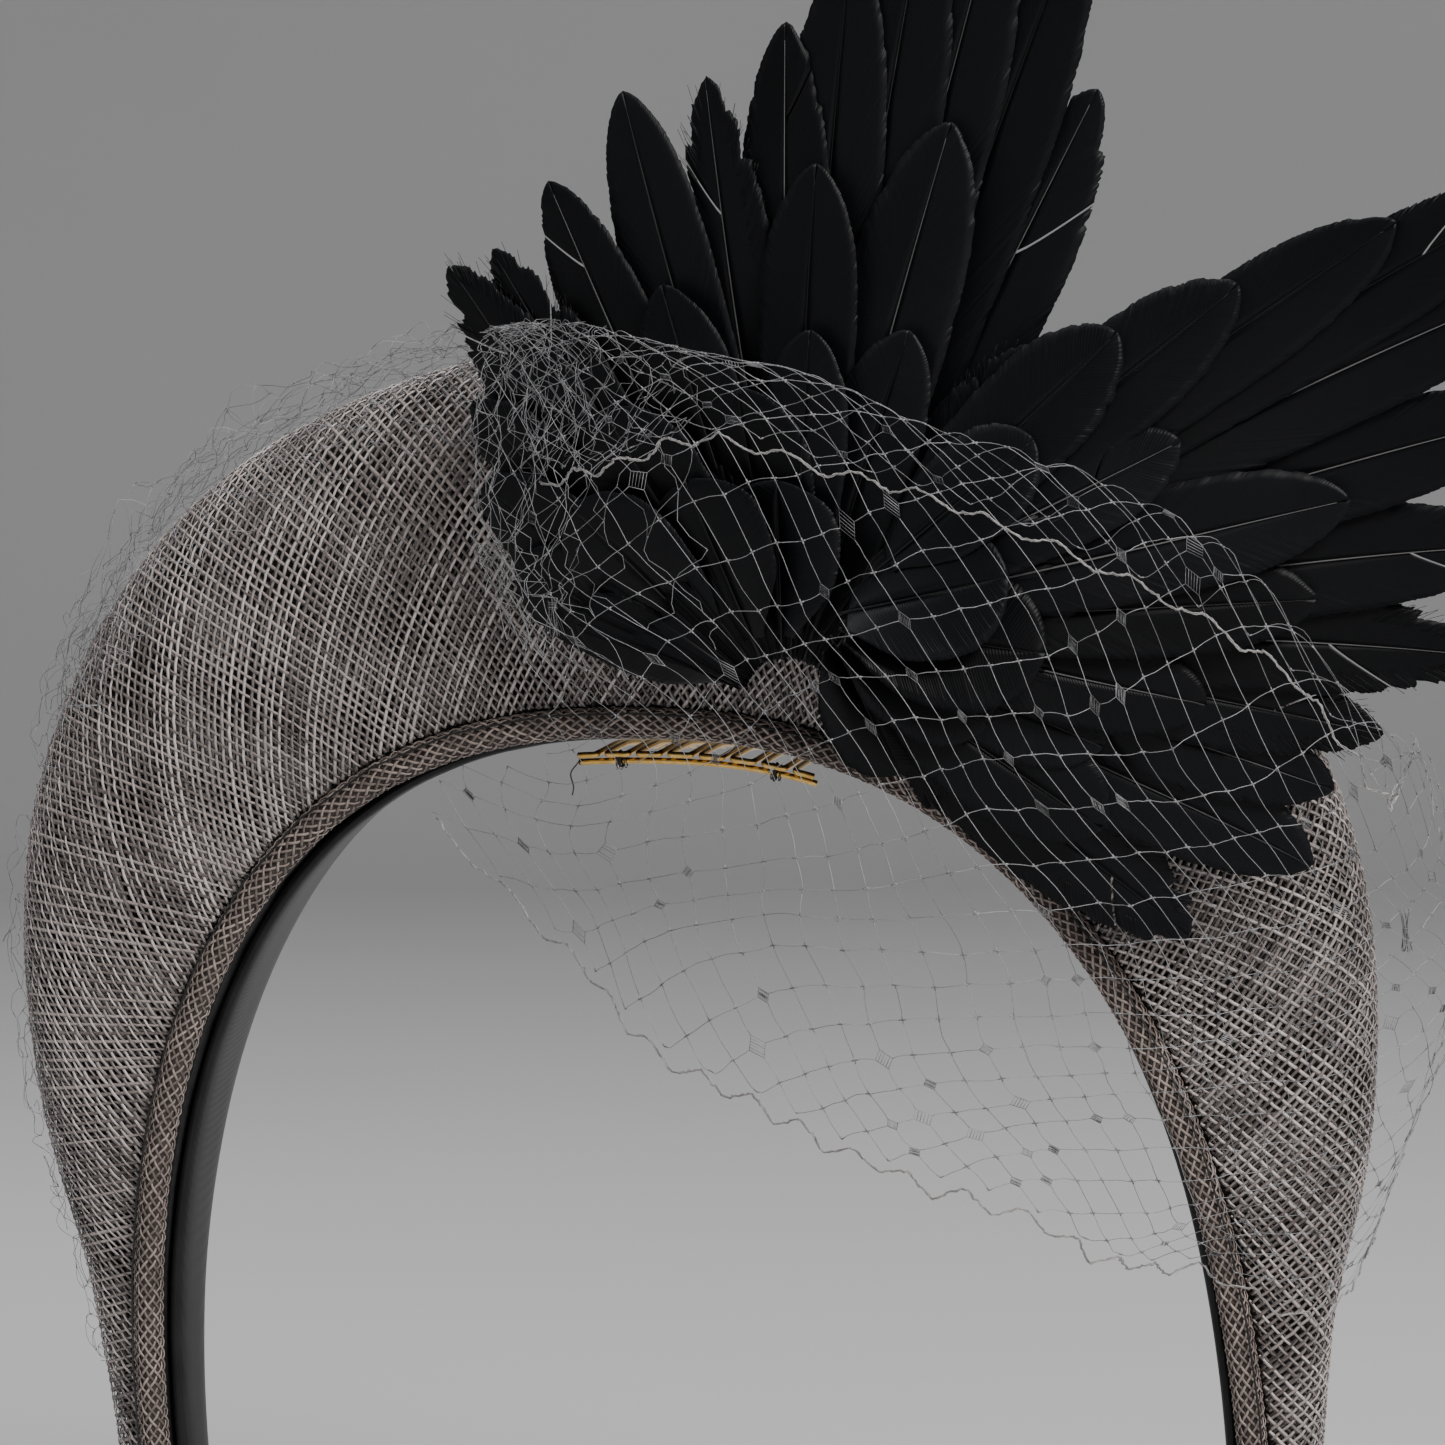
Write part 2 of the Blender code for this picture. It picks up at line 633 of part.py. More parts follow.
def make_selvedge(name, v, mats, tilt):
    """The zigzag cord along one edge of the net."""
    inner = v + 0.02 if v < 0.5 else v - 0.02
    edge = [veil_point(i / 200, v) for i in range(201)]
    lengths = np.concatenate([[0], np.cumsum(np.linalg.norm(np.diff(edge, axis=0), axis=1))])
    count = int(lengths[-1] / ZIGZAG_PITCH)
    route = []
    for i in range(count + 1):
        u = float(np.interp(lengths[-1] * i / count, lengths, [k / 200 for k in range(201)]))
        here = veil_point(u, v)
        away = here - veil_point(u, inner)
        away /= np.linalg.norm(away)
        reach = 0.0014 + (ZIGZAG_DEPTH if i % 2 else 0.0)
        route.append(here + away * reach)
    wire_object(name, route, SELVEDGE_RADIUS, mats["net"], tilt)


def make_gather(name, centre, size, mats, tilt):
    """The knot of thread that draws an end of the net together."""
    rings = []
    count, levels = 8, 5
    for i in range(levels):
        angle = math.pi * (0.12 + 0.76 * i / (levels - 1))
        ring = []
        for k in range(count):
            turn = 2 * math.pi * k / count
            x = centre[0] + size[0] * math.sin(angle) * math.cos(turn)
            y = centre[1] + size[1] * math.sin(angle) * math.sin(turn)
            ring.append((x, y, centre[2] + size[2] * math.cos(angle)))
        rings.append(ring)
    solid_from_rings(name, rings, mats["thread"], tilt)


# ---- the headpiece -----------------------------------------------------------------------------------------
def main():
    clear_scene()
    mats = finishes()
    tilt = bpy.data.objects.new("worn_tilt", None)
    bpy.context.scene.collection.objects.link(tilt)
    tilt.rotation_euler = (WORN_TILT, 0, 0)

    make_band(mats, tilt)
    make_end_cap("end_cap_right", -1, mats, tilt)
    make_end_cap("end_cap_left", 1, mats, tilt)

    make_padding(mats, tilt)
    make_shell("sinamay_underlay", FABRIC + GAP, mats, tilt)
    make_shell("sinamay_cover", 0.0, mats, tilt)
    make_lining(mats, tilt)
    make_binding("front_binding", "front_edge_wire", "front_stitching", True, mats, tilt)
    make_binding("back_binding", "back_edge_wire", "back_stitching", False, mats, tilt)

    make_comb(mats, tilt)
    make_comb_stitch("comb_stitch_right", 1, mats, tilt)
    make_comb_stitch("comb_stitch_left", 6, mats, tilt)

    make_wing_pad("upper_wing_pad", UPPER_WING, UPPER_PAD_SHIFT, UPPER_PAD_HALF, UPPER_PAD_DEPTHS, mats, tilt)
    make_wing_pad("side_wing_pad", SIDE_WING, SIDE_PAD_SHIFT, SIDE_PAD_HALF, SIDE_PAD_DEPTHS, mats, tilt)
    upper = [("long", UPPER_LONG), ("middle", UPPER_MIDDLE), ("short", UPPER_SHORT)]
    side = [("long", SIDE_LONG), ("middle", SIDE_MIDDLE), ("short", SIDE_SHORT)]
    make_wing("upper", UPPER_WING, upper, mats, tilt)
    make_wing("side", SIDE_WING, side, mats, tilt)

    make_net(mats, tilt)
    make_veil_tail(mats, tilt)
    make_selvedge("veil_selvedge_upper", 0.0, mats, tilt)
    make_selvedge("veil_selvedge_lower", 1.0, mats, tilt)
    make_gather("veil_gather_right", (-0.0225, -0.0115, 0.158), (0.0022, 0.0015, 0.004), mats, tilt)
    make_gather("veil_gather_left", (0.1015, 0.0225, 0.100), (0.0022, 0.0015, 0.004), mats, tilt)
    bpy.context.view_layer.update()


main()
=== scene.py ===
"""Looks of the halo fascinator headpiece: woven sinamay, feather wings, spotted veil, satin and wire comb.

Surfaces are drawn in the band's own frame, as in the part's design: X to the wearer's left, Y to the back
and Z from the arm ends to the crown, with the front inner edge in the plane y = 0. to_world() then leans
that frame forward by WORN_TILT. Sizes are metres.
"""

import math

import bpy
import numpy as np
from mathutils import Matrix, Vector


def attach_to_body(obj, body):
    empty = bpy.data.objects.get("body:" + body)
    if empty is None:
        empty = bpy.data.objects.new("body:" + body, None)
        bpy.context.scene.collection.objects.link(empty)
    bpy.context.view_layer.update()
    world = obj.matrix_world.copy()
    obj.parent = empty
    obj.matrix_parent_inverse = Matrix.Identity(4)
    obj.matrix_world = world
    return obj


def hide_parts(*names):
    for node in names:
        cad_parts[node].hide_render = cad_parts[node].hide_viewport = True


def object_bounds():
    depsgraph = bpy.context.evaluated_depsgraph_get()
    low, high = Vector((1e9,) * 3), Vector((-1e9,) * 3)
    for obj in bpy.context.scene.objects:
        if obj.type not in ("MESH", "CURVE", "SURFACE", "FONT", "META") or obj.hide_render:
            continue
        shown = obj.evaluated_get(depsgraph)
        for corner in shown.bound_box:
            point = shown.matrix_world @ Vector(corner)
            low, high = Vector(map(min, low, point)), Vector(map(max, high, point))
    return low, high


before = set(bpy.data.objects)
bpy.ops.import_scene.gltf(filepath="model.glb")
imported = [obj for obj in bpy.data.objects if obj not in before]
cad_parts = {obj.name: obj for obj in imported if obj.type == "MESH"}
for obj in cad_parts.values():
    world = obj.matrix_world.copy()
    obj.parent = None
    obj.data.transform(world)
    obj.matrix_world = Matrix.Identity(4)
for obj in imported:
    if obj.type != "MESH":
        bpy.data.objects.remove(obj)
CAD_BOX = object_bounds()

# ---- the design's driving dimensions, repeated ----
WORN_TILT = math.radians(13.5)
INNER_HALF_WIDTH = 0.080
INNER_HEIGHT = 0.133
ARM_TOP = 0.0195
ARM_END_HALF_WIDTH = 0.0775
ARCH_POWER = 2.38
ALONG = (0.0, 0.2, 0.4, 0.6, 0.75, 0.88, 1.0)
CROWN_HEIGHT = (0.0520, 0.0495, 0.0400, 0.0245, 0.0130, 0.0100, 0.0100)
CROWN_DEPTH = (0.0300, 0.0290, 0.0260, 0.0190, 0.0130, 0.0105, 0.0100)
BAND_WIDTH = (0.0200, 0.0195, 0.0175, 0.0140, 0.0110, 0.0090, 0.0080)
CROWN_BULGE = 0.0040
COVER_START = 0.0041
BAND_OUTSIDE = -0.0002
BAND_INSIDE = -0.0026
BINDING_RADIUS = 0.0019
BINDING_OUT = 0.0006
COMB_LOOPS = 8
COMB_PITCH = 0.00467
COMB_FIRST_X = -0.0088
SEWING_THREAD = 0.00010
# The sewing thread's loose end, from the end of the comb's spine.
LOOSE_END = (
    (0.0, 0.0, 0.0008), (-0.0010, 0.0, -0.0003), (-0.0019, -0.0004, -0.0016),
    (-0.0016, -0.0005, -0.0034), (-0.0019, -0.0004, -0.0047),
)
COMB_LOOP_WIDTH = 0.0033
COMB_WIRE = 0.00045
COMB_R = -0.0036
COMB_SPINE_R = -0.00485
COMB_FRONT_Y = 0.0031
COMB_SPINE_Y = 0.0042
COMB_TOOTH = 0.0260
COMB_DROP = 0.0060
UPPER_WING = {"x": 0.0273, "z": 0.1414, "y": -0.0115, "rise": 0.010, "from": 0.040, "over": 0.090}
SIDE_WING = {"x": 0.0361, "z": 0.1575, "y": -0.0225, "rise": 0.014, "from": 0.015, "over": 0.070}
SHINGLE_PER_DEGREE = 0.00016
TIER = 0.0030
QUILL_START = 0.011

# Feathers as (length, lean from vertical in degrees, half width, bend at the root in degrees).
UPPER_LONG = [
    (0.060, -47, 0.0070, -16), (0.0755, -38, 0.0070, -14), (0.0735, -33, 0.0065, -8),
    (0.077, -24, 0.0066, -3), (0.0845, -14, 0.0068, 0), (0.0845, -6, 0.0066, 0),
    (0.0905, 1.5, 0.0066, 0), (0.1015, 6.5, 0.0074, 0), (0.109, 11.5, 0.0078, 0),
    (0.1135, 16.5, 0.0078, 0), (0.1135, 22, 0.0078, 0), (0.092, 28.5, 0.0078, 0),
]
UPPER_MIDDLE = [(0.059, -14.5, 0.0070, 0), (0.073, 5.5, 0.0072, 0), (0.0815, 18, 0.0080, 0)]
UPPER_SHORT = [(0.052, 7, 0.0064, 0), (0.055, 21, 0.0066, 0), (0.061, 36, 0.0060, 0)]
SIDE_LONG = [
    (0.1145, 61, 0.0070, 0), (0.1105, 67, 0.0072, 0), (0.101, 76.5, 0.0072, 0),
    (0.0935, 87, 0.0072, 0), (0.086, 97, 0.0070, 0), (0.0730, 106.5, 0.0066, 0),
    (0.0690, 114, 0.0066, 0), (0.0710, 123, 0.0074, 4), (0.0650, 138.5, 0.0080, 8),
]
SIDE_MIDDLE = [
    (0.0510, 66, 0.0064, 0), (0.0685, 80, 0.0070, 0), (0.0630, 91, 0.0066, 0),
    (0.0505, 106.5, 0.0066, 0), (0.0400, 119, 0.0064, 0),
]
SIDE_SHORT = [(0.0260, 125, 0.0064, 0), (0.0235, 157, 0.0056, 0)]

# Veil: rows from the gather on the upper wing round to the back of the left arm, in mm; each holds its points
# at the upper selvedge, the top fold, the upper front, the lower front and the lower selvedge.
VEIL_ROWS = [
    [(-6, -15, 172), (-12, -17, 194), (-16, -21, 170), (-20, -15, 145), (-27, -10, 124)],
    [(6, -21, 177), (5, -25, 195), (0, -31, 165), (-1, -33, 138), (2, -38, 113)],
    [(21, -23, 181), (22, -29, 193), (24, -38, 165), (18, -45, 135), (17, -50, 105)],
    [(40, -25, 177), (40, -31, 189), (42, -44, 160), (36, -54, 130), (34, -56, 100)],
    [(57, -29, 173), (56, -33, 182), (60, -48, 155), (54, -57, 122), (49, -58, 93)],
    [(75, -26, 164), (74, -31, 175), (78, -44, 146), (72, -51, 114), (64, -54, 87)],
    [(90, -20, 152), (91, -25, 162), (93, -36, 136), (88, -38, 105), (74, -40, 75)],
    [(102, -14, 137), (105, -18, 145), (106, -23, 125), (102, -19, 96), (82, -22, 66)],
    [(106, -5, 128), (110, -6, 132), (112, -5, 116), (112, -2, 95), (94, -10, 56)],
    [(103, 17, 124), (105, 17, 130), (110, 17, 113), (109, 16, 94), (99, 11, 62)],
]
VEIL_ACROSS = (0.0, 0.13, 0.35, 0.68, 1.0)
TAIL_ALONG = (-0.80, 0.0)
TAIL_ROUND = (0.30, 0.74)
TAIL_PUFF = 0.0034
# The tail's layers as (where it starts on the arch, how far it stands off, meshes along, meshes across).
TAIL_LAYERS = (
    (-0.40, TAIL_PUFF * 1.95, 26, 14), (-0.37, TAIL_PUFF * 1.35, 24, 15), (-0.34, TAIL_PUFF * 0.7, 22, 14),
)

# ---- sizes of the looks ----
WEAVE_PITCH = 0.00125
# Angles of the cloth's threads from the arch, in degrees, at the crown and on the wearer's right and left.
WARP_CROWN, WARP_RIGHT, WARP_LEFT = 48.0, 35.0, 44.0
WEFT_CROWN, WEFT_RIGHT, WEFT_LEFT = 55.0, 68.0, 51.0
WEAVE_WAVE = 0.00013
# The underlay lies turned and shifted under the cover, which gives the cloth its moire.
UNDERLAY_TURN, UNDERLAY_PHASE = -4.0, 0.0005
# Where on the crown its run along the arch is measured, as a share of its height.
RUN_SHARE = 0.8
THREAD_HALF_WIDTH = 0.000215
THREAD_HALF_HEIGHT = 0.00008
COVER_INSET = 0.00020
UNDERLAY_INSET = 0.00085
# The ribbon over an arm's end: how far past the end each ring lies, and its size as a share.
END_CAP_PROFILE = ((-0.0030, 0.97), (-0.0026, 1.0), (0.0006, 1.0), (0.0018, 0.985), (0.0027, 0.93),
                   (0.0032, 0.82), (0.0034, 0.60))
BINDING_THREADS = 10
BINDING_LEAN = math.radians(33)
BINDING_LENGTH = 0.380
BINDING_STEP = 0.0004
BINDING_HALF_THREAD = 0.00019
BARB_PITCH = 0.00040
# A barb at share t of the row ends at t**BARB_SWEEP of the vane and leaves the shaft lower down.
BARB_SWEEP, BARB_ROOT_SWEEP, BARB_ROOT_SPAN = 0.74, 1.08, 0.90
QUILL_HALF_WIDTH, QUILL_HALF_HEIGHT = 0.00025, 0.00019
NET_STEP_ALONG = 0.0042
NET_STEP_DOWN = 0.0029
NET_THREAD = 0.000046
KNOT_RADIUS = 0.000105
SPOT_SHARE = 0.19
LADDER_SHARE = 0.30
SELVEDGE_THREAD = 0.000068
SELVEDGE_TWIST = 0.00013
CORD_THREADS, CORD_TWIST_LENGTH = 4, 0.0032
CRUMPLE_THREAD = 0.000045

rng = np.random.default_rng(7)


# ---- materials ----
def new_material(name, roughness, metallic=0.0, specular=0.5, sheen=0.0):
    mat = bpy.data.materials.new(name)
    mat.use_nodes = True
    shader = mat.node_tree.nodes["Principled BSDF"]
    shader.inputs["Roughness"].default_value = roughness
    shader.inputs["Metallic"].default_value = metallic
    shader.inputs["Specular IOR Level"].default_value = specular
    shader.inputs["Sheen Weight"].default_value = sheen
    return mat, mat.node_tree, shader


def add_node(tree, kind, **values):
    node = tree.nodes.new(kind)
    for key, value in values.items():
        if key in node.inputs:
            node.inputs[key].default_value = value
        else:
            setattr(node, key, value)
    return node


def texture(tree, kind, **values):
    node = add_node(tree, kind, **values)
    place = tree.nodes.new("ShaderNodeTexCoord")
    tree.links.new(place.outputs["Object"], node.inputs["Vector"])
    return node.outputs["Fac"]


def noise(tree, scale, detail=3.0, roughness=0.55):
    return texture(tree, "ShaderNodeTexNoise", Scale=scale, Detail=detail, Roughness=roughness)


def attribute(tree, name):
    return add_node(tree, "ShaderNodeAttribute", attribute_name=name).outputs["Fac"]


def ramp(tree, value, stops):
    node = tree.nodes.new("ShaderNodeValToRGB")
    elements = node.color_ramp.elements
    while len(elements) < len(stops):
        elements.new(0.5)
    for element, (place, colour) in zip(elements, stops):
        element.position = place
        element.color = (*colour, 1.0)
    tree.links.new(value, node.inputs["Fac"])
    return node.outputs["Color"]


def maths(tree, operation, a, b):
    node = tree.nodes.new("ShaderNodeMath")
    node.operation = operation
    for socket, value in zip(node.inputs, (a, b)):
        if isinstance(value, (int, float)):
            socket.default_value = value
        else:
            tree.links.new(value, socket)
    return node.outputs[0]


def plus(tree, a, b):
    return maths(tree, "ADD", a, b)


def times(tree, a, b):
    return maths(tree, "MULTIPLY", a, b)


def paint(tree, shader, value, stops, socket="Base Color"):
    tree.links.new(ramp(tree, value, stops), shader.inputs[socket])


def bump(tree, shader, height, strength, distance):
    node = add_node(tree, "ShaderNodeBump", Strength=strength, Distance=distance)
    tree.links.new(height, node.inputs["Height"])
    tree.links.new(node.outputs["Normal"], shader.inputs["Normal"])


def thread_material(name, dark, light, roughness, sheen=0.0, specular=0.5):
    """Dyed thread: each thread has its own tone, and the tone drifts and flecks along it."""
    mat, tree, shader = new_material(name, roughness, 0.0, specular, sheen)
    drift = times(tree, noise(tree, 90.0), 0.55)
    fleck = times(tree, noise(tree, 1600.0, 2.0), 0.35)
    tone = times(tree, attribute(tree, "tone"), 0.55)
    value = plus(tree, plus(tree, drift, fleck), tone)
    middle = tuple((d + l) / 2 for d, l in zip(dark, light))
    paint(tree, shader, value, [(0.38, dark), (0.72, middle), (1.05, light)])
    bump(tree, shader, noise(tree, 3000.0, 2.0), 0.35, 0.00004)
    return mat


def cloth_material(name, dark, light, roughness, scale=900.0, strength=0.5):
    mat, tree, shader = new_material(name, roughness)
    grain = noise(tree, scale)
    paint(tree, shader, grain, [(0.35, dark), (0.68, light)])
    bump(tree, shader, grain, strength, 0.0002)
    return mat


def satin_material():
    """Black ribbon: fine ribs across it and a soft dull sheen."""
    mat, tree, shader = new_material("black_satin", 0.42, 0.0, 0.22, 0.04)
    ribs = texture(tree, "ShaderNodeTexWave", Scale=900.0, Distortion=0.6)
    paint(tree, shader, noise(tree, 120.0), [(0.3, (0.006, 0.006, 0.007)), (0.8, (0.016, 0.016, 0.018))])
    bump(tree, shader, ribs, 0.25, 0.00008)
    return mat


def feather_material():
    """Dyed goose feather: barbs as fine slanting ridges, blue-black, with slightly paler edges."""
    mat, tree, shader = new_material("feather_vane", 0.42, 0.0, 0.13, 0.012)
    shader.inputs["Sheen Roughness"].default_value = 0.35
    ridge = maths(tree, "SINE", times(tree, attribute(tree, "barb"), 2 * math.pi), 0.0)
    height = plus(tree, times(tree, ridge, 0.5), noise(tree, 220.0))
    edge = maths(tree, "POWER", attribute(tree, "across"), 8.0)
    tone = times(tree, attribute(tree, "tone"), 0.35)
    value = plus(tree, times(tree, noise(tree, 45.0), 0.6), tone)
    value = plus(tree, value, times(tree, edge, 0.25))
    paint(tree, shader, value, [
        (0.25, (0.0016, 0.0018, 0.0024)), (0.62, (0.0032, 0.0035, 0.0046)), (1.0, (0.0085, 0.0088, 0.0105)),
    ])
    bump(tree, shader, height, 0.22, 0.00008)
    return mat


def quill_material():
    """Dyed shaft: black where its tone is low, and paler towards 1: a painted highlight along the shaft."""
    mat, tree, shader = new_material("feather_quill", 0.40, 0.0, 0.25)
    value = plus(tree, attribute(tree, "tone"), times(tree, noise(tree, 200.0), 0.12))
    paint(tree, shader, value, [
        (0.55, (0.003, 0.003, 0.004)), (0.85, (0.014, 0.014, 0.015)), (1.05, (0.115, 0.113, 0.112)),
    ])
    bump(tree, shader, noise(tree, 900.0), 0.2, 0.00005)
    return mat


def metal_material(name, dark, light, roughness):
    mat, tree, shader = new_material(name, roughness, 1.0)
    wear = noise(tree, 700.0)
    paint(tree, shader, wear, [(0.3, dark), (0.7, light)])
    paint(tree, shader, wear, [(0.2, (roughness * 0.8,) * 3), (0.9, (roughness * 1.5,) * 3)], "Roughness")
    bump(tree, shader, noise(tree, 2500.0), 0.15, 0.00003)
    return mat


def floor_material():
    mat, tree, shader = new_material("studio_floor", 0.85)
    paint(tree, shader, noise(tree, 2.0), [(0.3, (0.50, 0.50, 0.505)), (0.7, (0.53, 0.53, 0.535))])
    return mat


MATS = {
    # Warp and weft are one sinamay: the warp is painted lighter as a painted highlight, the weft darker as
    # painted shade.
    "warp": thread_material("sinamay_warp_painted_highlight", (0.100, 0.079, 0.073), (0.64, 0.575, 0.550), 0.33, 0.15, 0.80),
    "weft": thread_material("sinamay_weft_painted_shade", (0.070, 0.052, 0.046), (0.40, 0.340, 0.315), 0.38, 0.12, 0.6),
    # The underlay is the same sinamay, painted darker as painted shade under the cover.
    "under": thread_material("sinamay_under_painted_shade", (0.052, 0.043, 0.041), (0.30, 0.268, 0.258), 0.42),
    "binding": thread_material("binding_thread", (0.065, 0.047, 0.040), (0.42, 0.335, 0.295), 0.42, 0.1),
    "roll": cloth_material("binding_roll", (0.019, 0.014, 0.012), (0.072, 0.053, 0.045), 0.8),
    "padding": cloth_material("dark_wadding", (0.014, 0.012, 0.011), (0.040, 0.034, 0.032), 0.95),
    "lining": cloth_material("black_lining", (0.008, 0.008, 0.008), (0.022, 0.022, 0.023), 0.85),
    "felt": cloth_material("black_felt", (0.002, 0.002, 0.002), (0.008, 0.008, 0.009), 0.95, 1500.0, 0.8),
    "plastic": cloth_material("moulded_core", (0.020, 0.020, 0.020), (0.034, 0.034, 0.034), 0.45, 300.0, 0.1),
    "thread": thread_material("black_thread", (0.006, 0.006, 0.006), (0.035, 0.033, 0.033), 0.6),
    "net": thread_material("veil_thread", (0.060, 0.060, 0.063), (0.31, 0.31, 0.32), 0.36, 0.0, 0.6),
    "selvedge": thread_material("veil_selvedge_thread", (0.15, 0.143, 0.138), (0.50, 0.48, 0.465), 0.40),
    "satin": satin_material(),
    "feather": feather_material(),
    "quill": quill_material(),
    "gold": metal_material("gold_wire", (0.62, 0.36, 0.08), (0.86, 0.58, 0.20), 0.20),
    "steel": metal_material("steel_wire", (0.30, 0.30, 0.31), (0.50, 0.50, 0.51), 0.35),
}


# ---- meshes ----
def to_world(points):
    cos, sin = math.cos(WORN_TILT), math.sin(WORN_TILT)
    points = np.asarray(points, float)
    y, z = points[..., 1], points[..., 2]
    return np.stack([points[..., 0], y * cos - z * sin, y * sin + z * cos], -1)


def unit(v):
    return v / np.maximum(np.linalg.norm(v, axis=-1, keepdims=True), 1e-12)


class Build:
    """Gathers quads into one mesh, with float attributes and a material index for each part added."""

    def __init__(self):
        self.points, self.quads, self.marks, self.slots, self.count = [], [], [], [], 0

    def add(self, points, quads, slot=0, **marks):
        points = np.asarray(points, float).reshape(-1, 3)
        self.points.append(points)
        self.quads.append(np.asarray(quads) + self.count)
        self.slots.append(np.full(len(quads), slot))
        full = {k: np.broadcast_to(np.asarray(v, float).reshape(-1), len(points)) for k, v in marks.items()}
        self.marks.append((len(points), full))
        self.count += len(points)

    def finish(self, name, *materials):
        points = to_world(np.concatenate(self.points))
        quads = np.concatenate(self.quads).astype(np.int32)
        mesh = bpy.data.meshes.new(name)
        mesh.vertices.add(len(points))
        mesh.vertices.foreach_set("co", points.astype(np.float32).ravel())
        mesh.loops.add(quads.size)
        mesh.loops.foreach_set("vertex_index", quads.ravel())
        mesh.polygons.add(len(quads))
        mesh.polygons.foreach_set("loop_start", np.arange(0, quads.size, 4, dtype=np.int32))
        mesh.polygons.foreach_set("use_smooth", np.ones(len(quads), bool))
        mesh.polygons.foreach_set("material_index", np.concatenate(self.slots).astype(np.int32))
        for key in sorted({k for _, marks in self.marks for k in marks}):
            values = [marks.get(key, np.zeros(n)) for n, marks in self.marks]
            layer = mesh.attributes.new(key, "FLOAT", "POINT")
            layer.data.foreach_set("value", np.concatenate(values).astype(np.float32))
        mesh.update(calc_edges=True)
        mesh.validate()
        for mat in materials:
            mesh.materials.append(mat)
        return link(name, mesh)


def link(name, data):
    """A new object in the scene that holds data."""
    obj = bpy.data.objects.new(name, data)
    bpy.context.scene.collection.objects.link(obj)
    return obj


def finish_piece(build, name, node, looks, body="headpiece"):
    """Makes what was gathered into a piece on a body. It stands for node, unless that is None."""
    piece = build.finish(name, *(MATS[look] for look in looks))
    if node:
        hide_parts(node)
    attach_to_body(piece, body)
    return piece


def facing(direction, line):
    """The same normal at each point of a line."""
    return np.broadcast_to(direction, line.shape)


def strands(build, lines, normals, half_width, half_height=None, sides=4, tones=None, slot=0, taper=None):
    """Closed tubes along many lines of points. A flat thread is wider than it is high off its surface."""
    if not lines:
        return
    half_height = half_width if half_height is None else half_height
    counts = np.array([len(line) for line in lines])
    p, n = np.concatenate(lines), np.concatenate(normals)
    total = len(p)
    last = np.cumsum(counts) - 1
    first = last - counts + 1
    ahead, behind = np.arange(total) + 1, np.arange(total) - 1
    ahead[last], behind[first] = last, first
    tangent = unit(p[ahead] - p[behind])
    side = unit(np.cross(tangent, n))
    up = np.cross(side, tangent)
    scale = np.ones(total) if taper is None else np.concatenate(taper)
    wide = np.repeat(np.broadcast_to(half_width, len(lines)), counts) * scale
    high = np.repeat(np.broadcast_to(half_height, len(lines)), counts) * scale
    turn = 2 * math.pi * np.arange(sides) / sides
    ring = (
        p[:, None]
        + side[:, None] * (wide[:, None] * np.cos(turn))[..., None]
        + up[:, None] * (high[:, None] * np.sin(turn))[..., None]
    )
    start = np.setdiff1d(np.arange(total), last)[:, None] * sides
    k = np.arange(sides)
    after = (k + 1) % sides
    body = np.stack([start + k, start + sides + k, start + sides + after, start + after], -1).reshape(-1, 4)
    caps = []
    for j in range(1, sides - 2, 2):
        corners = np.array([0, j, j + 1, j + 2])
        caps.append(first[:, None] * sides + corners)
        caps.append(last[:, None] * sides + corners[::-1])
    tones = rng.random(len(lines)) if tones is None else np.asarray(tones, float)
    marks = np.repeat(np.repeat(np.broadcast_to(tones, len(lines)), counts), sides)
    build.add(ring, np.concatenate([body, *caps]), slot, tone=marks)


def sheet_quads(rows, columns):
    """Faces of a closed thin solid: a front grid, then a back grid of the same size."""
    i, j = np.meshgrid(np.arange(rows - 1), np.arange(columns - 1), indexing="ij")
    a = (i * columns + j).ravel()
    front = np.stack([a, a + 1, a + columns + 1, a + columns], -1)
    half = rows * columns
    back = front[:, ::-1] + half
    low = np.arange(columns - 1)
    high = low + (rows - 1) * columns
    left = np.arange(rows - 1) * columns
    right = left + columns - 1
    rims = [
        np.stack([low + half, low + half + 1, low + 1, low], -1),
        np.stack([high, high + 1, high + half + 1, high + half], -1),
        np.stack([left, left + columns, left + half + columns, left + half], -1),
        np.stack([right + half, right + half + columns, right + columns, right], -1),
    ]
    return np.concatenate([front, back, *rims])


# ---- the arch and the crown ----
def smooth_profile(x, knots, values):
    """A monotone cubic through (knots, values), read at x."""
    knots, values = np.asarray(knots, float), np.asarray(values, float)
    steps = np.diff(knots)
    slopes = np.diff(values) / steps
    ends = np.zeros(len(knots))
    for i in range(1, len(knots) - 1):
        if slopes[i - 1] * slopes[i] > 0:
            ends[i] = 2 * slopes[i - 1] * slopes[i] / (slopes[i - 1] + slopes[i])
    k = np.clip(np.searchsorted(knots, x) - 1, 0, len(steps) - 1)
    t = (x - knots[k]) / steps[k]
    rise = values[k] * (1 + 2 * t) * (1 - t) ** 2 + values[k + 1] * t * t * (3 - 2 * t)
    return rise + steps[k] * t * (1 - t) * (ends[k] * (1 - t) - ends[k + 1] * t)


def smooth_step(t):
    t = np.clip(t, 0.0, 1.0)
    return t * t * (3 - 2 * t)


def arch_table():
    steps = 240
    rise = INNER_HEIGHT - ARM_TOP
    angle = math.pi / 2 * (1 - np.arange(steps + 1) / steps)
    reach = (np.cos(angle) / INNER_HALF_WIDTH) ** ARCH_POWER + (np.sin(angle) / rise) ** ARCH_POWER
    radius = reach ** (-1 / ARCH_POWER)
    top = np.stack([radius * np.cos(angle), ARM_TOP + radius * np.sin(angle)], -1)
    t = np.arange(1, steps // 6 + 1) / (steps // 6)
    lean = (INNER_HALF_WIDTH - ARM_END_HALF_WIDTH) * t * t
    points = np.concatenate([top, np.stack([INNER_HALF_WIDTH - lean, ARM_TOP * (1 - t)], -1)])
    lengths = np.concatenate([[0], np.cumsum(np.linalg.norm(np.diff(points, axis=0), axis=1))])
    return lengths / lengths[-1], points


ARCH_SHARE, ARCH_POINTS = arch_table()


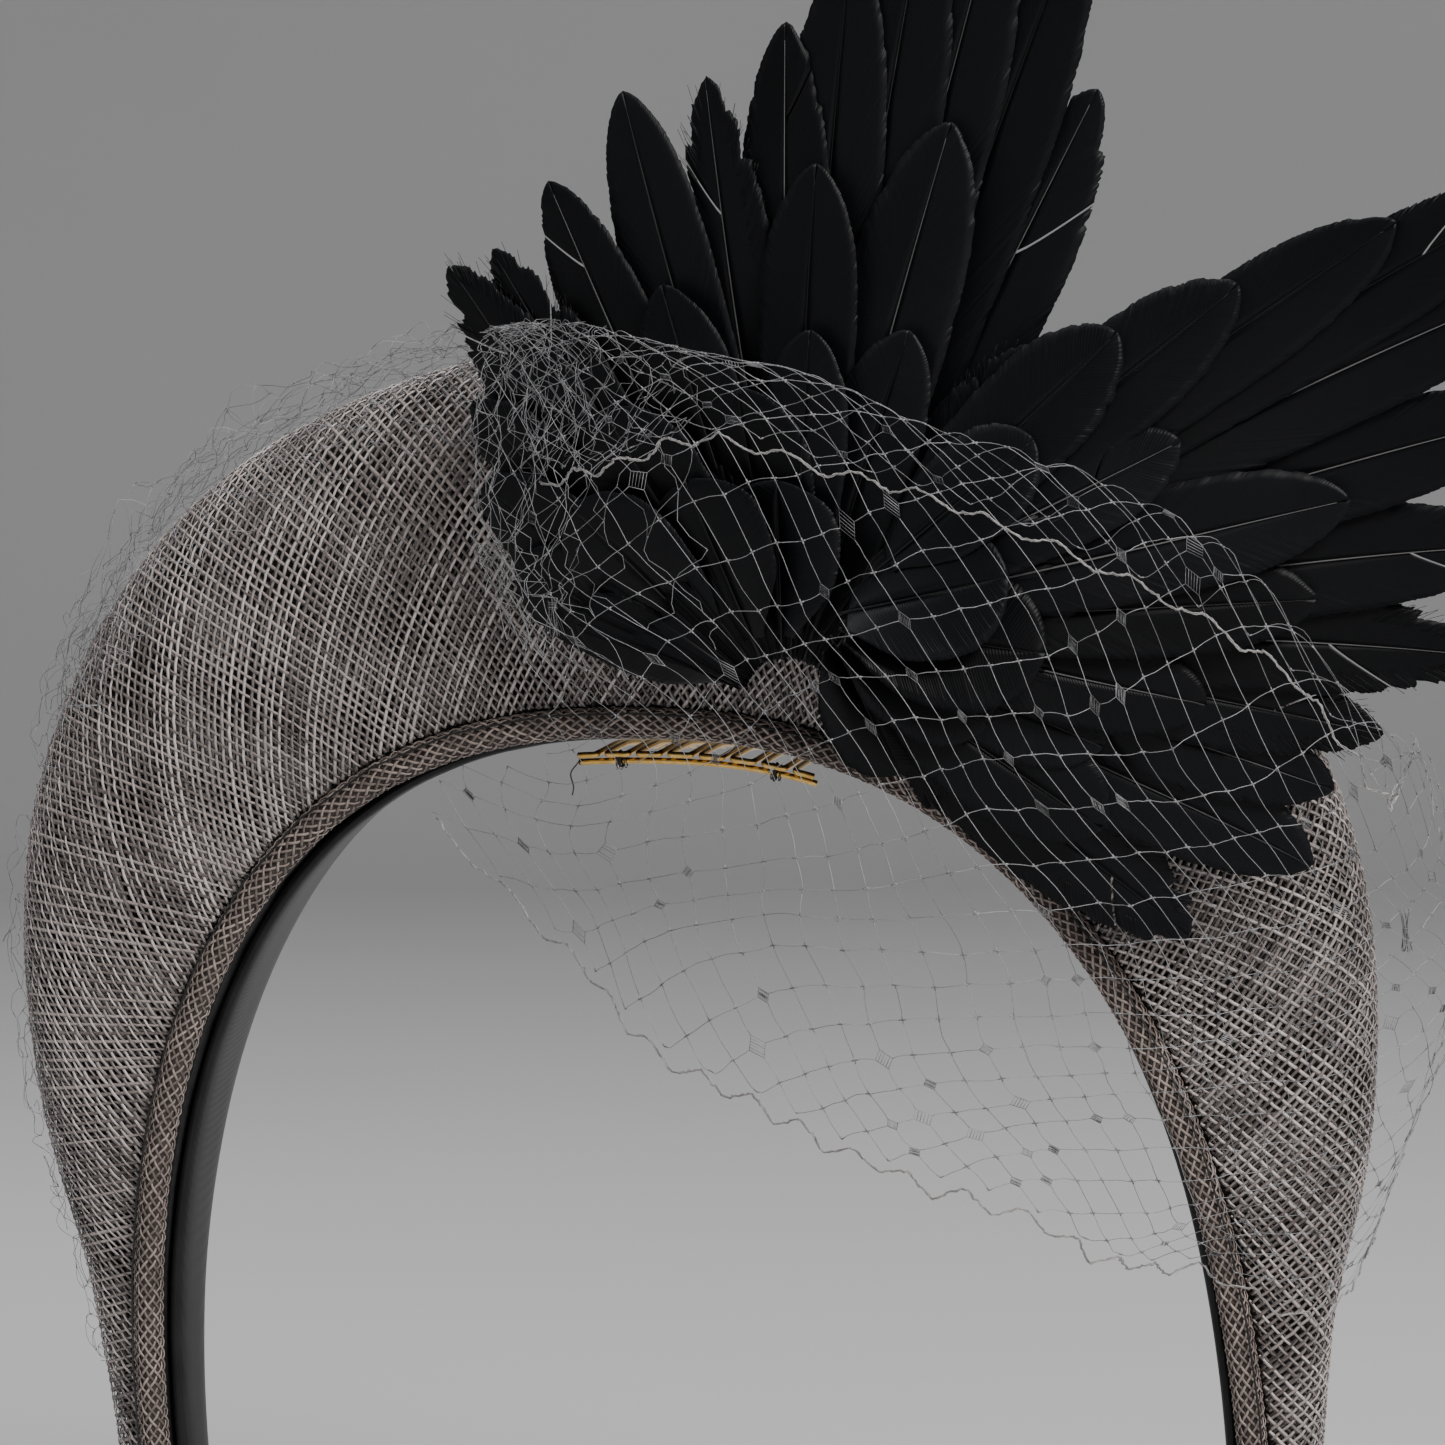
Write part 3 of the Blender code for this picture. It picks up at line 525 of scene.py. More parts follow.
def arch(s):
    """Points (x, z) of the inner edge at s, and the outward directions there."""
    s = np.asarray(s, float)

    def at(q):
        q = np.clip(q, -1, 1)
        x = np.interp(np.abs(q), ARCH_SHARE, ARCH_POINTS[:, 0]) * np.sign(q)
        return np.stack([x, np.interp(np.abs(q), ARCH_SHARE, ARCH_POINTS[:, 1])], -1)

    tangent = unit(at(s + 0.01) - at(s - 0.01))
    return at(s), np.stack([-tangent[..., 1], tangent[..., 0]], -1)


def on_crown(s, r, y):
    point, outward = arch(s)
    place = point + outward * np.asarray(r, float)[..., None]
    return np.stack([place[..., 0], np.broadcast_to(y, place.shape[:-1]), place[..., 1]], -1)


FINE = np.linspace(0, 1, 201)
HEIGHT_TABLE = smooth_profile(FINE, ALONG, CROWN_HEIGHT)
DEPTH_TABLE = smooth_profile(FINE, ALONG, CROWN_DEPTH)
BAND_TABLE = smooth_profile(FINE, ALONG, BAND_WIDTH)


def height_at(s):
    return np.interp(np.abs(s), FINE, HEIGHT_TABLE)


def depth_at(s):
    return np.interp(np.abs(s), FINE, DEPTH_TABLE)


def crown(s, t, lift):
    """The crown's surface at s, round its section by t, raised by lift."""
    s, t = np.asarray(s, float), np.asarray(t, float)
    height, depth = height_at(s) + lift, depth_at(s) + 2 * lift
    bulge = CROWN_BULGE * height_at(s) / CROWN_HEIGHT[0]
    y = depth / 2 * (1 - np.cos(t)) - bulge * np.sin(2 * t) - lift
    return on_crown(s, height * np.sin(t), y)


def crown_normal(s, t):
    d = 2e-3
    along = crown(s + d, t, 0) - crown(s - d, t, 0)
    across = crown(s, t + d, 0) - crown(s, t - d, 0)
    return unit(np.cross(along, across))


class CrownMap:
    """Flat coordinates on the crown: a runs along the arch and w round the section from its top, both in
    metres. w is below 0 on the front."""

    def __init__(self):
        rows, columns = 121, 81
        self.s = np.linspace(-1, 1, rows)
        first = np.arcsin(COVER_START / height_at(self.s))
        self.share = np.linspace(0, 1, columns)
        t = first[:, None] + (math.pi - 2 * first)[:, None] * self.share
        steps = np.diff(crown(self.s[:, None] + 0 * t, t, 0), axis=1)
        length = np.concatenate([np.zeros((rows, 1)), np.cumsum(np.linalg.norm(steps, axis=2), axis=1)], 1)
        self.low = np.array([-np.interp(math.pi / 2, t[k], length[k]) for k in range(rows)])
        self.girth = length[:, -1]
        even = self.share[None] * self.girth[:, None]
        self.turn = np.array([np.interp(even[k], length[k], t[k]) for k in range(rows)])
        fine = np.linspace(-1, 1, 2001)
        middle = on_crown(fine, RUN_SHARE * height_at(fine), 0.0)
        run = np.concatenate([[0], np.cumsum(np.linalg.norm(np.diff(middle, axis=0), axis=1))])
        self.fine_s, self.run = fine, run - run[1000]

    def s_of(self, a):
        return np.interp(a, self.run, self.fine_s)

    def limits(self, s):
        low = np.interp(s, self.s, self.low)
        return low, low + np.interp(s, self.s, self.girth)

    def turn_of(self, s, w):
        low, high = self.limits(s)
        f = np.clip((w - low) / (high - low), 0, 1) * (len(self.share) - 1)
        g = np.clip((s + 1) / 2, 0, 1) * (len(self.s) - 1)
        j, i = np.minimum(f.astype(int), len(self.share) - 2), np.minimum(g.astype(int), len(self.s) - 2)
        f, g = f - j, g - i
        top = self.turn[i, j] * (1 - f) + self.turn[i, j + 1] * f
        return top * (1 - g) + (self.turn[i + 1, j] * (1 - f) + self.turn[i + 1, j + 1] * f) * g


CROWN = CrownMap()


# ---- sinamay ----
def runs_of(inside):
    """Stretches of True as (start, stop) pairs."""
    edges = np.flatnonzero(np.diff(np.concatenate([[0], inside.astype(int), [0]])))
    return list(zip(edges[::2], edges[1::2]))


def weave_family(lines_along, cross_of, w_of, wave, inset, a_grid, low, high):
    """Threads of one direction. Each weaves over and under the other direction's threads."""
    lines, normals = [], []
    for i in lines_along:
        w = w_of(i * WEAVE_PITCH) + WEAVE_PITCH * 0.10 * rng.normal()
        for start, stop in runs_of((w > low) & (w < high)):
            if stop - start < 8:
                continue
            a, ww = a_grid[start:stop], w[start:stop]
            cross = cross_of(a, ww) / WEAVE_PITCH * 2
            order = slice(None) if cross[-1] > cross[0] else slice(None, None, -1)
            ks = np.arange(math.ceil(cross.min()), math.floor(cross.max()) + 1)
            if len(ks) < 3:
                continue
            at_a = np.interp(ks, cross[order], a[order])
            at_w = np.interp(ks, cross[order], ww[order])
            s = CROWN.s_of(at_a)
            t = CROWN.turn_of(s, at_w)
            out = wave * np.cos(math.pi * (ks / 2 + i))
            drift = 0.00003 * rng.normal(size=len(ks))
            normal = crown_normal(s, t)
            lines.append(crown(s, t, -inset) + normal * (out + drift)[:, None])
            normals.append(normal)
    return lines, normals


def weave(extra, inset, phase):
    """Both directions of bias cloth on the crown, turned by extra degrees from the cover's own directions."""
    a = np.arange(CROWN.run[0], CROWN.run[-1], 0.0001)
    low, high = CROWN.limits(CROWN.s_of(a))
    away = smooth_step(np.abs(a) / 0.100)
    one = np.radians(np.where(a < 0, WARP_RIGHT, WARP_LEFT) * away + WARP_CROWN * (1 - away) + extra)
    two = np.radians(np.where(a < 0, WEFT_RIGHT, WEFT_LEFT) * away + WEFT_CROWN * (1 - away) - extra)
    step = 0.0001
    sum_one, sum_two = np.cumsum(np.sin(one)) * step, np.cumsum(np.sin(two)) * step
    zero = len(a) // 2
    sum_one, sum_two = sum_one - sum_one[zero] + phase, sum_two - sum_two[zero] + phase
    p_all = np.concatenate([low * np.cos(one) - sum_one, high * np.cos(one) - sum_one])
    q_all = np.concatenate([low * np.cos(two) + sum_two, high * np.cos(two) + sum_two])

    def p_at(at, w):
        return w * np.cos(np.interp(at, a, one)) - np.interp(at, a, sum_one)

    def q_at(at, w):
        return w * np.cos(np.interp(at, a, two)) + np.interp(at, a, sum_two)

    def span(values):
        return range(math.ceil(values.min() / WEAVE_PITCH), math.floor(values.max() / WEAVE_PITCH) + 1)

    first = weave_family(
        span(p_all), q_at, lambda p: (p + sum_one) / np.cos(one), WEAVE_WAVE, inset, a, low, high
    )
    second = weave_family(
        span(q_all), p_at, lambda q: (q - sum_two) / np.cos(two), -WEAVE_WAVE, inset, a, low, high
    )
    return first, second


def split_at_middle(lines, normals):
    """The same threads, cut into the wearer's right and left halves at the middle of the crown."""
    halves = ([], []), ([], [])
    for line, normal in zip(lines, normals):
        left = line[:, 0] > 0
        for half, inside in ((0, ~left), (1, left)):
            for start, stop in runs_of(inside):
                low, high = max(start - 1, 0), min(stop + (1 if half == 0 else 0), len(line))
                if high - low > 1:
                    halves[half][0].append(line[low:high])
                    halves[half][1].append(normal[low:high])
    return halves


def make_sinamay():
    cover = weave(0.0, COVER_INSET, 0.0)
    under = weave(UNDERLAY_TURN, UNDERLAY_INSET, UNDERLAY_PHASE)
    for layer, node, families, looks in (
        # The cover's warp takes the painted highlight and its weft the painted shade.
        ("cover", "sinamay_cover", cover, ("warp", "weft")),
        # The underlay takes painted shade, as it lies under the cover.
        ("underlay", "sinamay_underlay", under, ("under", "under")),
    ):
        for label, family, look in zip(("warp", "weft"), families, looks):
            for side, (lines, normals) in zip(("right", "left"), split_at_middle(*family)):
                build = Build()
                width = THREAD_HALF_WIDTH * rng.uniform(0.75, 1.25, len(lines))
                strands(build, lines, normals, width, THREAD_HALF_HEIGHT)
                piece = finish_piece(build, f"{layer}_{label}_{side}", node, [look])


# ---- rolled bindings ----
def make_binding(name, front):
    """Bias sinamay rolled over the edge wire: two sets of helical threads round the frame's own roll."""
    radius, count = BINDING_RADIUS + 0.00010, BINDING_THREADS
    rate = math.tan(BINDING_LEAN) / radius
    steps = int(BINDING_LENGTH / BINDING_STEP)
    s = np.linspace(-1, 1, steps)
    along = (s + 1) / 2 * BINDING_LENGTH
    middle = -BINDING_OUT if front else depth_at(s) + BINDING_OUT
    centre = on_crown(s, BINDING_RADIUS + 0 * s, middle)
    build = Build()
    for way in (1, -1):
        lines, normals = [], []
        for i in range(count):
            angle = 2 * math.pi * i / count + way * rate * along
            other = (2 * math.pi * i / count + way * 2 * rate * along) * count / (2 * math.pi)
            wave = way * WEAVE_WAVE * np.cos(math.pi * (i + other))
            r = radius + wave + 0.00003 * rng.normal(size=steps)
            line = on_crown(s, BINDING_RADIUS + r * np.cos(angle), middle + r * np.sin(angle))
            lines.append(line)
            normals.append(unit(line - centre))
        strands(build, lines, normals, BINDING_HALF_THREAD, THREAD_HALF_HEIGHT)
    finish_piece(build, name, None, ["binding"])


# ---- Alice band ----
def rounded_ring(half_wide, half_high, power=3.2, count=24):
    turn = 2 * math.pi * np.arange(count) / count
    reach = (np.abs(np.cos(turn)) ** power + np.abs(np.sin(turn)) ** power) ** (-1 / power)
    return half_wide * reach * np.cos(turn), half_high * reach * np.sin(turn)


def ring_solid(build, rings):
    """A closed solid through rings with an even number of points."""
    rings = np.asarray(rings)
    rows, count = rings.shape[:2]
    start = np.arange(rows - 1)[:, None] * count
    k = np.arange(count)
    after = (k + 1) % count
    body = np.stack([start + k, start + after, start + count + after, start + count + k], -1)
    quads = [body.reshape(-1, 4)]
    last = (rows - 1) * count
    for j in range(1, count - 2, 2):
        corners = np.array([[0, j, j + 1, j + 2]])
        quads.append(corners[:, ::-1])
        quads.append(corners + last)
    build.add(rings, np.concatenate(quads))


def make_band():
    s = np.linspace(-1, 1, 181)
    middle = (BAND_INSIDE + BAND_OUTSIDE) / 2
    build = Build()
    rings = []
    for here in s:
        half_wide = np.interp(abs(here), FINE, BAND_TABLE) / 2
        y, r = rounded_ring(half_wide, (BAND_OUTSIDE - BAND_INSIDE) / 2)
        rings.append(on_crown(np.full(len(y), here), middle + r, depth_at(here) / 2 + y))
    ring_solid(build, rings)
    finish_piece(build, "satin_band", "band_cover", ["satin"])


def make_end_cap(name, node, side):
    """Ribbon wrapped over the end of an arm: a soft rounded tip that laps a little way up the arm."""
    middle, half = (BAND_INSIDE + CROWN_HEIGHT[-1]) / 2, (CROWN_HEIGHT[-1] - BAND_INSIDE) / 2 + 0.0005
    half_depth = CROWN_DEPTH[-1] / 2 + BINDING_OUT + BINDING_RADIUS + 0.0003
    rings = []
    for past, share in END_CAP_PROFILE:
        y, r = rounded_ring(half_depth * share, half * share, 3.0, 32)
        s = np.full(len(y), side * 1.0)
        place = on_crown(s, middle + r, CROWN_DEPTH[-1] / 2 + y)
        down = on_crown(s, 0 * r, 0.0) - on_crown(s - side * 0.02, 0 * r, 0.0)
        rings.append(place + unit(down) * past)
    build = Build()
    ring_solid(build, rings if side < 0 else rings[::-1])
    finish_piece(build, name, node, ["satin"])


# ---- wire comb ----
def s_at_x(x):
    return np.sign(x) * np.interp(np.abs(x), ARCH_POINTS[:200, 0], ARCH_SHARE[:200])


def catmull(points, per_span):
    """A smooth line through the points."""
    points = np.asarray(points, float)
    ghost = np.concatenate([[2 * points[0] - points[1]], points, [2 * points[-1] - points[-2]]])
    f = (np.arange(per_span) / per_span)[:, None]
    spans = []
    for k in range(len(points) - 1):
        a, b, c, d = ghost[k : k + 4]
        bend = (2 * a - 5 * b + 4 * c - d) * f**2 + (3 * b - a - 3 * c + d) * f**3
        spans.append(0.5 * (2 * b + (c - a) * f + bend))
    return np.concatenate([*spans, points[-1:]])


def make_comb():
    half, tip = COMB_LOOP_WIDTH / 2, COMB_FRONT_Y + COMB_TOOTH
    tooth = [(0.0012, 0.0), (0.30 * COMB_TOOTH, 0.12), (0.45 * COMB_TOOTH, 0.25), (0.75 * COMB_TOOTH, 0.62)]
    tooth.append((COMB_TOOTH - 0.0007, 0.97))
    route = []

    def spot(x, r, y):
        return on_crown(s_at_x(np.array(x)), r, y)

    def along_tooth(x, inwards):
        spots = [spot(x, COMB_R - COMB_DROP * drop, COMB_FRONT_Y + back) for back, drop in tooth]
        return spots if inwards else spots[::-1]

    for k in range(COMB_LOOPS):
        middle = COMB_FIRST_X + k * COMB_PITCH
        if k:
            route += along_tooth(middle - half, inwards=False)
        for x in (middle - half + 0.0004, middle, middle + half - 0.0004):
            route.append(spot(x, COMB_R, COMB_FRONT_Y))
        if k < COMB_LOOPS - 1:
            route += along_tooth(middle + half, inwards=True)
            route.append(spot(middle + COMB_PITCH / 2, COMB_R - COMB_DROP, tip))
    line = catmull(route, 6)
    first, last = COMB_FIRST_X - half, COMB_FIRST_X + (COMB_LOOPS - 1) * COMB_PITCH + half
    spine = spot(np.linspace(first, last, 40), COMB_SPINE_R, COMB_SPINE_Y)
    for name, node, path in (("comb_wire", "comb_teeth", line), ("comb_bar", "comb_spine", spine)):
        build = Build()
        strands(build, [path], [facing([0.05, 0.1, 1.0], path)], COMB_WIRE, sides=12)
        finish_piece(build, name, node, ["gold"], "comb")


def make_comb_threads():
    """Sewing thread wound round the comb's spine beside each stitch, with one loose end."""
    build = Build()
    lines, normals = [], []
    for loop in (1, 6):
        x = COMB_FIRST_X + loop * COMB_PITCH
        for turn_number in range(3):
            turn = np.linspace(0, 2 * math.pi, 25)
            s = s_at_x(x + 0.0006 * (turn_number - 1) + 0.0003 * turn / (2 * math.pi))
            r = COMB_SPINE_R + 0.0001 + 0.00112 * np.cos(turn)
            line = on_crown(s, r, COMB_SPINE_Y + 0.00015 + 0.00100 * np.sin(turn))
            lines.append(line)
            normals.append(facing([1.0, 0.1, 0.2], line))
    start = on_crown(s_at_x(np.array(COMB_FIRST_X - 0.0010)), COMB_SPINE_R, COMB_SPINE_Y)
    loose = catmull(start + np.array(LOOSE_END), 6)
    lines.append(loose)
    normals.append(facing([1.0, 0.1, 0.2], loose))
    strands(build, lines, normals, SEWING_THREAD, sides=6)
    finish_piece(build, "comb_threads", None, ["thread"])


# ---- feathers ----
def wing_depth(wing, rho):
    return wing["y"] + wing["rise"] * smooth_step((rho - wing["from"]) / wing["over"])


def feather_width(t, round_tip):
    """Half the vane's width at t, as a share: it widens from the root and ends in a rounded point."""
    t = np.clip(t, 0, 1)
    body = smooth_profile(np.minimum(t, 0.62), (0.0, 0.08, 0.2, 0.38, 0.62), (0.24, 0.36, 0.62, 0.90, 1.0))
    tip = np.clip((t - 0.62) / 0.38, 0, 1)
    return body * (1 - tip ** (3.0 if round_tip else 2.0)) ** 0.68


def place_on_wing(wing, tier, feather, start, along, aside, lift):
    """Points of a feather: along its shaft from the wing's centre, and aside from the shaft."""
    length, lean, _, bend = feather
    t = (along - start) / (length - start)
    here = lean + bend * (1 - t) ** 2 + np.degrees(np.arctan2(aside, along))
    reach = np.hypot(along, aside)
    angle = np.radians(here)
    y = wing_depth(wing, reach) - tier * TIER - SHINGLE_PER_DEGREE * (here - lean) + lift
    return np.stack([wing["x"] + reach * np.sin(angle), y, wing["z"] + reach * np.cos(angle)], -1)


def barb_tips(base, start, span, half_width, ragged, round_tip, splits):
    """Where each barb leaves the shaft and where it ends, along and aside from the shaft."""
    rows = len(base)
    share = base**BARB_SWEEP
    attach = start + span * (BARB_ROOT_SPAN * base**BARB_ROOT_SWEEP + 0.06 * base**12)
    clump = np.interp(base, np.linspace(0, 1, 34), rng.normal(size=34))
    fray = smooth_step((base - 0.62) / 0.25)
    loss = ragged * fray * (0.05 + 0.07 * np.maximum(clump, 0) + 0.05 * rng.random(rows))
    loss = loss + 0.010 * np.abs(rng.normal(size=rows)) + 0.012 * np.maximum(clump, 0)
    along = start + span * share
    aside = half_width * feather_width(share, round_tip)
    for place, gape in splits:
        along = along + np.where(base < place, -1, 1) * gape * np.exp(-np.abs(base - place) / 0.05)
    keep = 1 - np.clip(loss, 0, 0.8)
    return attach, attach + (along - attach) * keep, aside * keep


def make_feather(build, wing, tier, feather, ragged, splits, pale, round_tip):
    """A feather as barbs either side of a tapered shaft. A split is a gap between two clumps of barbs."""
    length, _, half_width, _ = feather
    start = QUILL_START if length > 0.03 else 0.004
    span = length - start
    rows, columns = int(80 + span * 1300), 7
    tone = rng.random()
    base = np.linspace(0, 1, rows)
    f = np.linspace(0, 1, columns)
    for side in (-1, 1):
        gaps = [(place, gape) for s, place, gape in splits if s == side]
        attach, end_along, end_aside = barb_tips(base, start, span, half_width, ragged, round_tip, gaps)
        along = attach[:, None] + (end_along - attach)[:, None] * f**1.12
        aside = side * end_aside[:, None] * f
        sway = np.interp(base, np.linspace(0, 1, 9), rng.normal(size=9))
        camber = 0.0003 * f**2 + (0.00012 * sway + 0.00003 * rng.normal(size=rows))[:, None] * f**2
        front = place_on_wing(wing, tier, feather, start, along, aside, camber)
        back = front + np.array([0.0, 0.00008, 0.0])
        marks = {
            "barb": np.broadcast_to((base * span / BARB_PITCH)[:, None], (rows, columns)),
            "across": np.broadcast_to(f[None], (rows, columns)),
        }
        edges = [0] + sorted(int(place * (rows - 1)) for place, _ in gaps) + [rows]
        for low, high in zip(edges[:-1], edges[1:]):
            both = {k: np.concatenate([v[low:high].ravel()] * 2) for k, v in marks.items()}
            points = np.concatenate([front[low:high].reshape(-1, 3), back[low:high].reshape(-1, 3)])
            quads = sheet_quads(high - low, columns)
            build.add(points, quads if side > 0 else quads[:, ::-1], 0, tone=tone, **both)
    along = np.linspace(start * 0.7, length - span * 0.03, 40)
    line = place_on_wing(wing, tier, feather, start, along, 0 * along, -0.00016)
    taper = 1.0 - 0.86 * ((along - along[0]) / (along[-1] - along[0])) ** 0.8
    normal = facing([0.0, -1.0, 0.0], line)
    # The shaft's tone is its painted highlight: towards 1 the shaft is painted paler.
    strands(build, [line], [normal], QUILL_HALF_WIDTH, QUILL_HALF_HEIGHT, 6, [pale], 1, [taper])
    if ragged > 0.8:
        add_frayed_barbs(build, wing, tier, feather, start)


def make_down(build, wing, tier, leans, reaches):
    """A fan of short downy barbs that closes the roots of a wing."""
    rows, columns = 150, 9
    lean = np.linspace(leans[0], leans[1], rows)[:, None]
    clump = np.interp(np.arange(rows), np.arange(0, rows + 5, 5), rng.normal(size=rows // 5 + 1))
    outer = reaches[1] * (1 + 0.05 * clump + 0.03 * rng.normal(size=rows))[:, None]
    inner = reaches[0] * (1 + 0.05 * rng.random((rows, 1)))
    f = np.linspace(0, 1, columns)
    along = inner + (outer - inner) * f
    angle = np.radians(lean)
    y = wing_depth(wing, along) - tier * TIER + 0.00015 * rng.normal(size=(rows, 1)) - 0.0006 * f
    front = np.stack([wing["x"] + along * np.sin(angle), y, wing["z"] + along * np.cos(angle)], -1)
    points = np.concatenate([front.reshape(-1, 3), (front + [0.0, 0.00012, 0.0]).reshape(-1, 3)])
    barb = np.broadcast_to(np.arange(rows)[:, None] * 0.8, (rows, columns))
    across = np.broadcast_to(f, (rows, columns))
    marks = {"barb": np.tile(barb.ravel(), 2), "across": np.tile(across.ravel(), 2)}
    build.add(points, sheet_quads(rows, columns), 0, tone=0.3, **marks)


def add_frayed_barbs(build, wing, tier, feather, start):
    """Loose single barbs standing out past a worn tip."""
    length, _, half_width, _ = feather
    lines, normals = [], []
    for _ in range(46):
        base = rng.uniform(0.66, 1.0)
        side = rng.choice((-1, 1))
        share = base**BARB_SWEEP
        attach = start + (length - start) * BARB_ROOT_SPAN * base**BARB_ROOT_SWEEP
        tip = start + (length - start) * share
        reach = rng.uniform(0.86, 1.06)
        f = np.linspace(0.55, reach, 6)
        curl = rng.normal(0, 0.0009) * (f - 0.55) ** 2 * 4
        along = attach + (tip - attach) * f + curl
        aside = side * half_width * feather_width(np.array([share]), True)[0] * f
        lines.append(place_on_wing(wing, tier, feather, start, along, aside, -0.0001))
        normals.append(np.broadcast_to([0.0, -1.0, 0.0], (6, 3)))
    strands(build, lines, normals, 0.000032, sides=4, tones=[0.0] * len(lines), slot=1)


def make_pads():
    """Soft felt blocks under the quills' roots."""
    for name, node, wing, shift, half, depths in (
        ("upper_felt", "upper_wing_pad", UPPER_WING, (-0.0010, 0.0130), (0.0105, 0.0080), (-0.0092, -0.0014)),
        ("side_felt", "side_wing_pad", SIDE_WING, (0.0110, -0.0010), (0.0080, 0.0090), (-0.0210, -0.0198)),
    ):
        rings = []
        for k in range(9):
            rise = math.pi * (k + 0.35) / 8.7
            share = math.sin(rise) ** 0.5
            x, z = rounded_ring(half[0] * share, half[1] * share, 2.4, 32)
            y = depths[0] + (depths[1] - depths[0]) * (1 - math.cos(rise)) / 2
            rings.append(np.stack([wing["x"] + shift[0] + x, np.full(32, y), wing["z"] + shift[1] + z], -1))
        build = Build()
        ring_solid(build, rings[::-1])
        finish_piece(build, name, node, ["felt"])


# What differs between the feathers of a row: (ragged tip, splits as (side, place, gape), pale quill, a
# painted highlight on the shaft, round tip).
PLAIN = (0.15, [], 0.5, True)
UPPER_LONG_LOOKS = [
    (0.9, [(1, 0.80, 0.0006)], 0.4, True),
    (2.0, [(-1, 0.86, 0.0008)], 0.4, True),
    (2.0, [(1, 0.84, 0.0006)], 0.4, True),
    (0.5, [(-1, 0.90, 0.0007)], 0.90, True),
    (0.1, [(-1, 0.58, 0.0022)], 0.80, True),
    (1.6, [(-1, 0.84, 0.0008)], 0.85, True),
    (0.5, [(1, 0.92, 0.0009)], 0.96, True),
    (0.3, [], 0.5, True),
    (0.2, [], 0.80, True),
    (0.2, [], 0.85, True),
    (0.2, [], 0.5, True),
    (0.8, [(1, 0.80, 0.0003)], 0.90, True),
]
UPPER_MIDDLE_LOOKS = [(0.1, [], 0.75, True), PLAIN, (0.1, [], 0.88, True)]
UPPER_SHORT_LOOKS = [PLAIN, (0.2, [], 0.5, True), (1.8, [(-1, 0.85, 0.0006)], 0.6, True)]
SIDE_LONG_LOOKS = [
    (0.5, [(-1, 0.66, 0.0004), (-1, 0.84, 0.0004)], 0.5, False),
    (0.2, [], 0.99, False),
    (0.2, [], 0.92, False),
    (0.3, [(1, 0.86, 0.0004)], 0.95, False),
    (1.5, [(1, 0.80, 0.0006)], 0.92, True),
    (1.4, [(-1, 0.86, 0.0006)], 0.80, True),
    (0.3, [(1, 0.52, 0.0022)], 0.90, True),
    (0.3, [], 0.85, True),
    (1.4, [(1, 0.84, 0.0006)], 0.5, True),
]
SIDE_MIDDLE_LOOKS = [
    (0.4, [(-1, 0.80, 0.0004)], 0.90, True),
    (0.2, [], 0.95, True),
    (0.2, [], 0.80, True),
    (0.3, [], 0.90, True),
    (0.3, [], 0.80, True),
]
SIDE_SHORT_LOOKS = [PLAIN, PLAIN]

# Small feathers at the wings' roots that close the gaps between the rows, as (tier, feather).
UPPER_ROOTS = [
    (0.4, (0.052, -55, 0.0075, -8)), (0.5, (0.043, -64, 0.0075, -6)), (0.6, (0.033, -68, 0.0058, -4)),
    (1.3, (0.047, -30, 0.0092, -4)), (1.6, (0.040, -46, 0.0092, -4)), (1.4, (0.044, -6, 0.0092, 0)),
    (2.5, (0.034, -20, 0.0094, 0)), (2.6, (0.032, 2, 0.0094, 0)),
]
SIDE_ROOTS = [
    (0.6, (0.052, 48, 0.0074, 0)), (0.4, (0.067, 53.5, 0.0072, 0)), (0.2, (0.088, 57.5, 0.0068, 0)),
    (1.4, (0.046, 132, 0.0078, 4)), (2.2, (0.030, 100, 0.0086, 0)), (2.4, (0.026, 78, 0.0082, 0)),
    (1.2, (0.036, 52, 0.0066, 0)),
]
# Fans of down under them, as (wing, tier, leans of the first and last barb, inner and outer reach).
DOWN = [
    (UPPER_WING, 0.9, (-71, 52), (0.0068, 0.031)),
    (UPPER_WING, 2.0, (-66, 46), (0.0072, 0.022)),
    (SIDE_WING, 0.9, (58, 158), (0.0040, 0.030)),
]


def make_wings():
    rows = [
        ("upper_long", UPPER_WING, 0, UPPER_LONG, UPPER_LONG_LOOKS),
        ("upper_middle", UPPER_WING, 1, UPPER_MIDDLE, UPPER_MIDDLE_LOOKS),
        ("upper_short", UPPER_WING, 2, UPPER_SHORT, UPPER_SHORT_LOOKS),
        ("side_long", SIDE_WING, 0, SIDE_LONG, SIDE_LONG_LOOKS),
        ("side_middle", SIDE_WING, 1, SIDE_MIDDLE, SIDE_MIDDLE_LOOKS),
        ("side_short", SIDE_WING, 2, SIDE_SHORT, SIDE_SHORT_LOOKS),
    ]
    for label, wing, tier, feathers, looks in rows:
        for number, (feather, (ragged, splits, pale, round_tip)) in enumerate(zip(feathers, looks), 1):
            build = Build()
            make_feather(build, wing, tier, feather, ragged, splits, pale, round_tip)
            node = f"{label}_{number:02d}"
            finish_piece(build, f"feather_{node}", node, ["feather", "quill"])
    build = Build()
    for wing, roots in ((UPPER_WING, UPPER_ROOTS), (SIDE_WING, SIDE_ROOTS)):
        for tier, feather in roots:
            make_feather(build, wing, tier, feather, 0.3, [], 0.5, True)
    for wing, tier, leans, reaches in DOWN:
        make_down(build, wing, tier, leans, reaches)
    finish_piece(build, "feather_roots", None, ["feather", "quill"])


# ---- veil ----
VEIL = np.array(VEIL_ROWS, float) / 1000


def spline_weights(t, spans):
    k = np.minimum((np.clip(t, 0, 1) * spans).astype(int), spans - 1)
    f = np.clip(t, 0, 1) * spans - k
    w = [(-f + 2 * f**2 - f**3) / 2, (2 - 5 * f**2 + 3 * f**3) / 2]
    w += [(f + 4 * f**2 - 3 * f**3) / 2, (-(f**2) + f**3) / 2]
    return k, np.stack(w, -1)


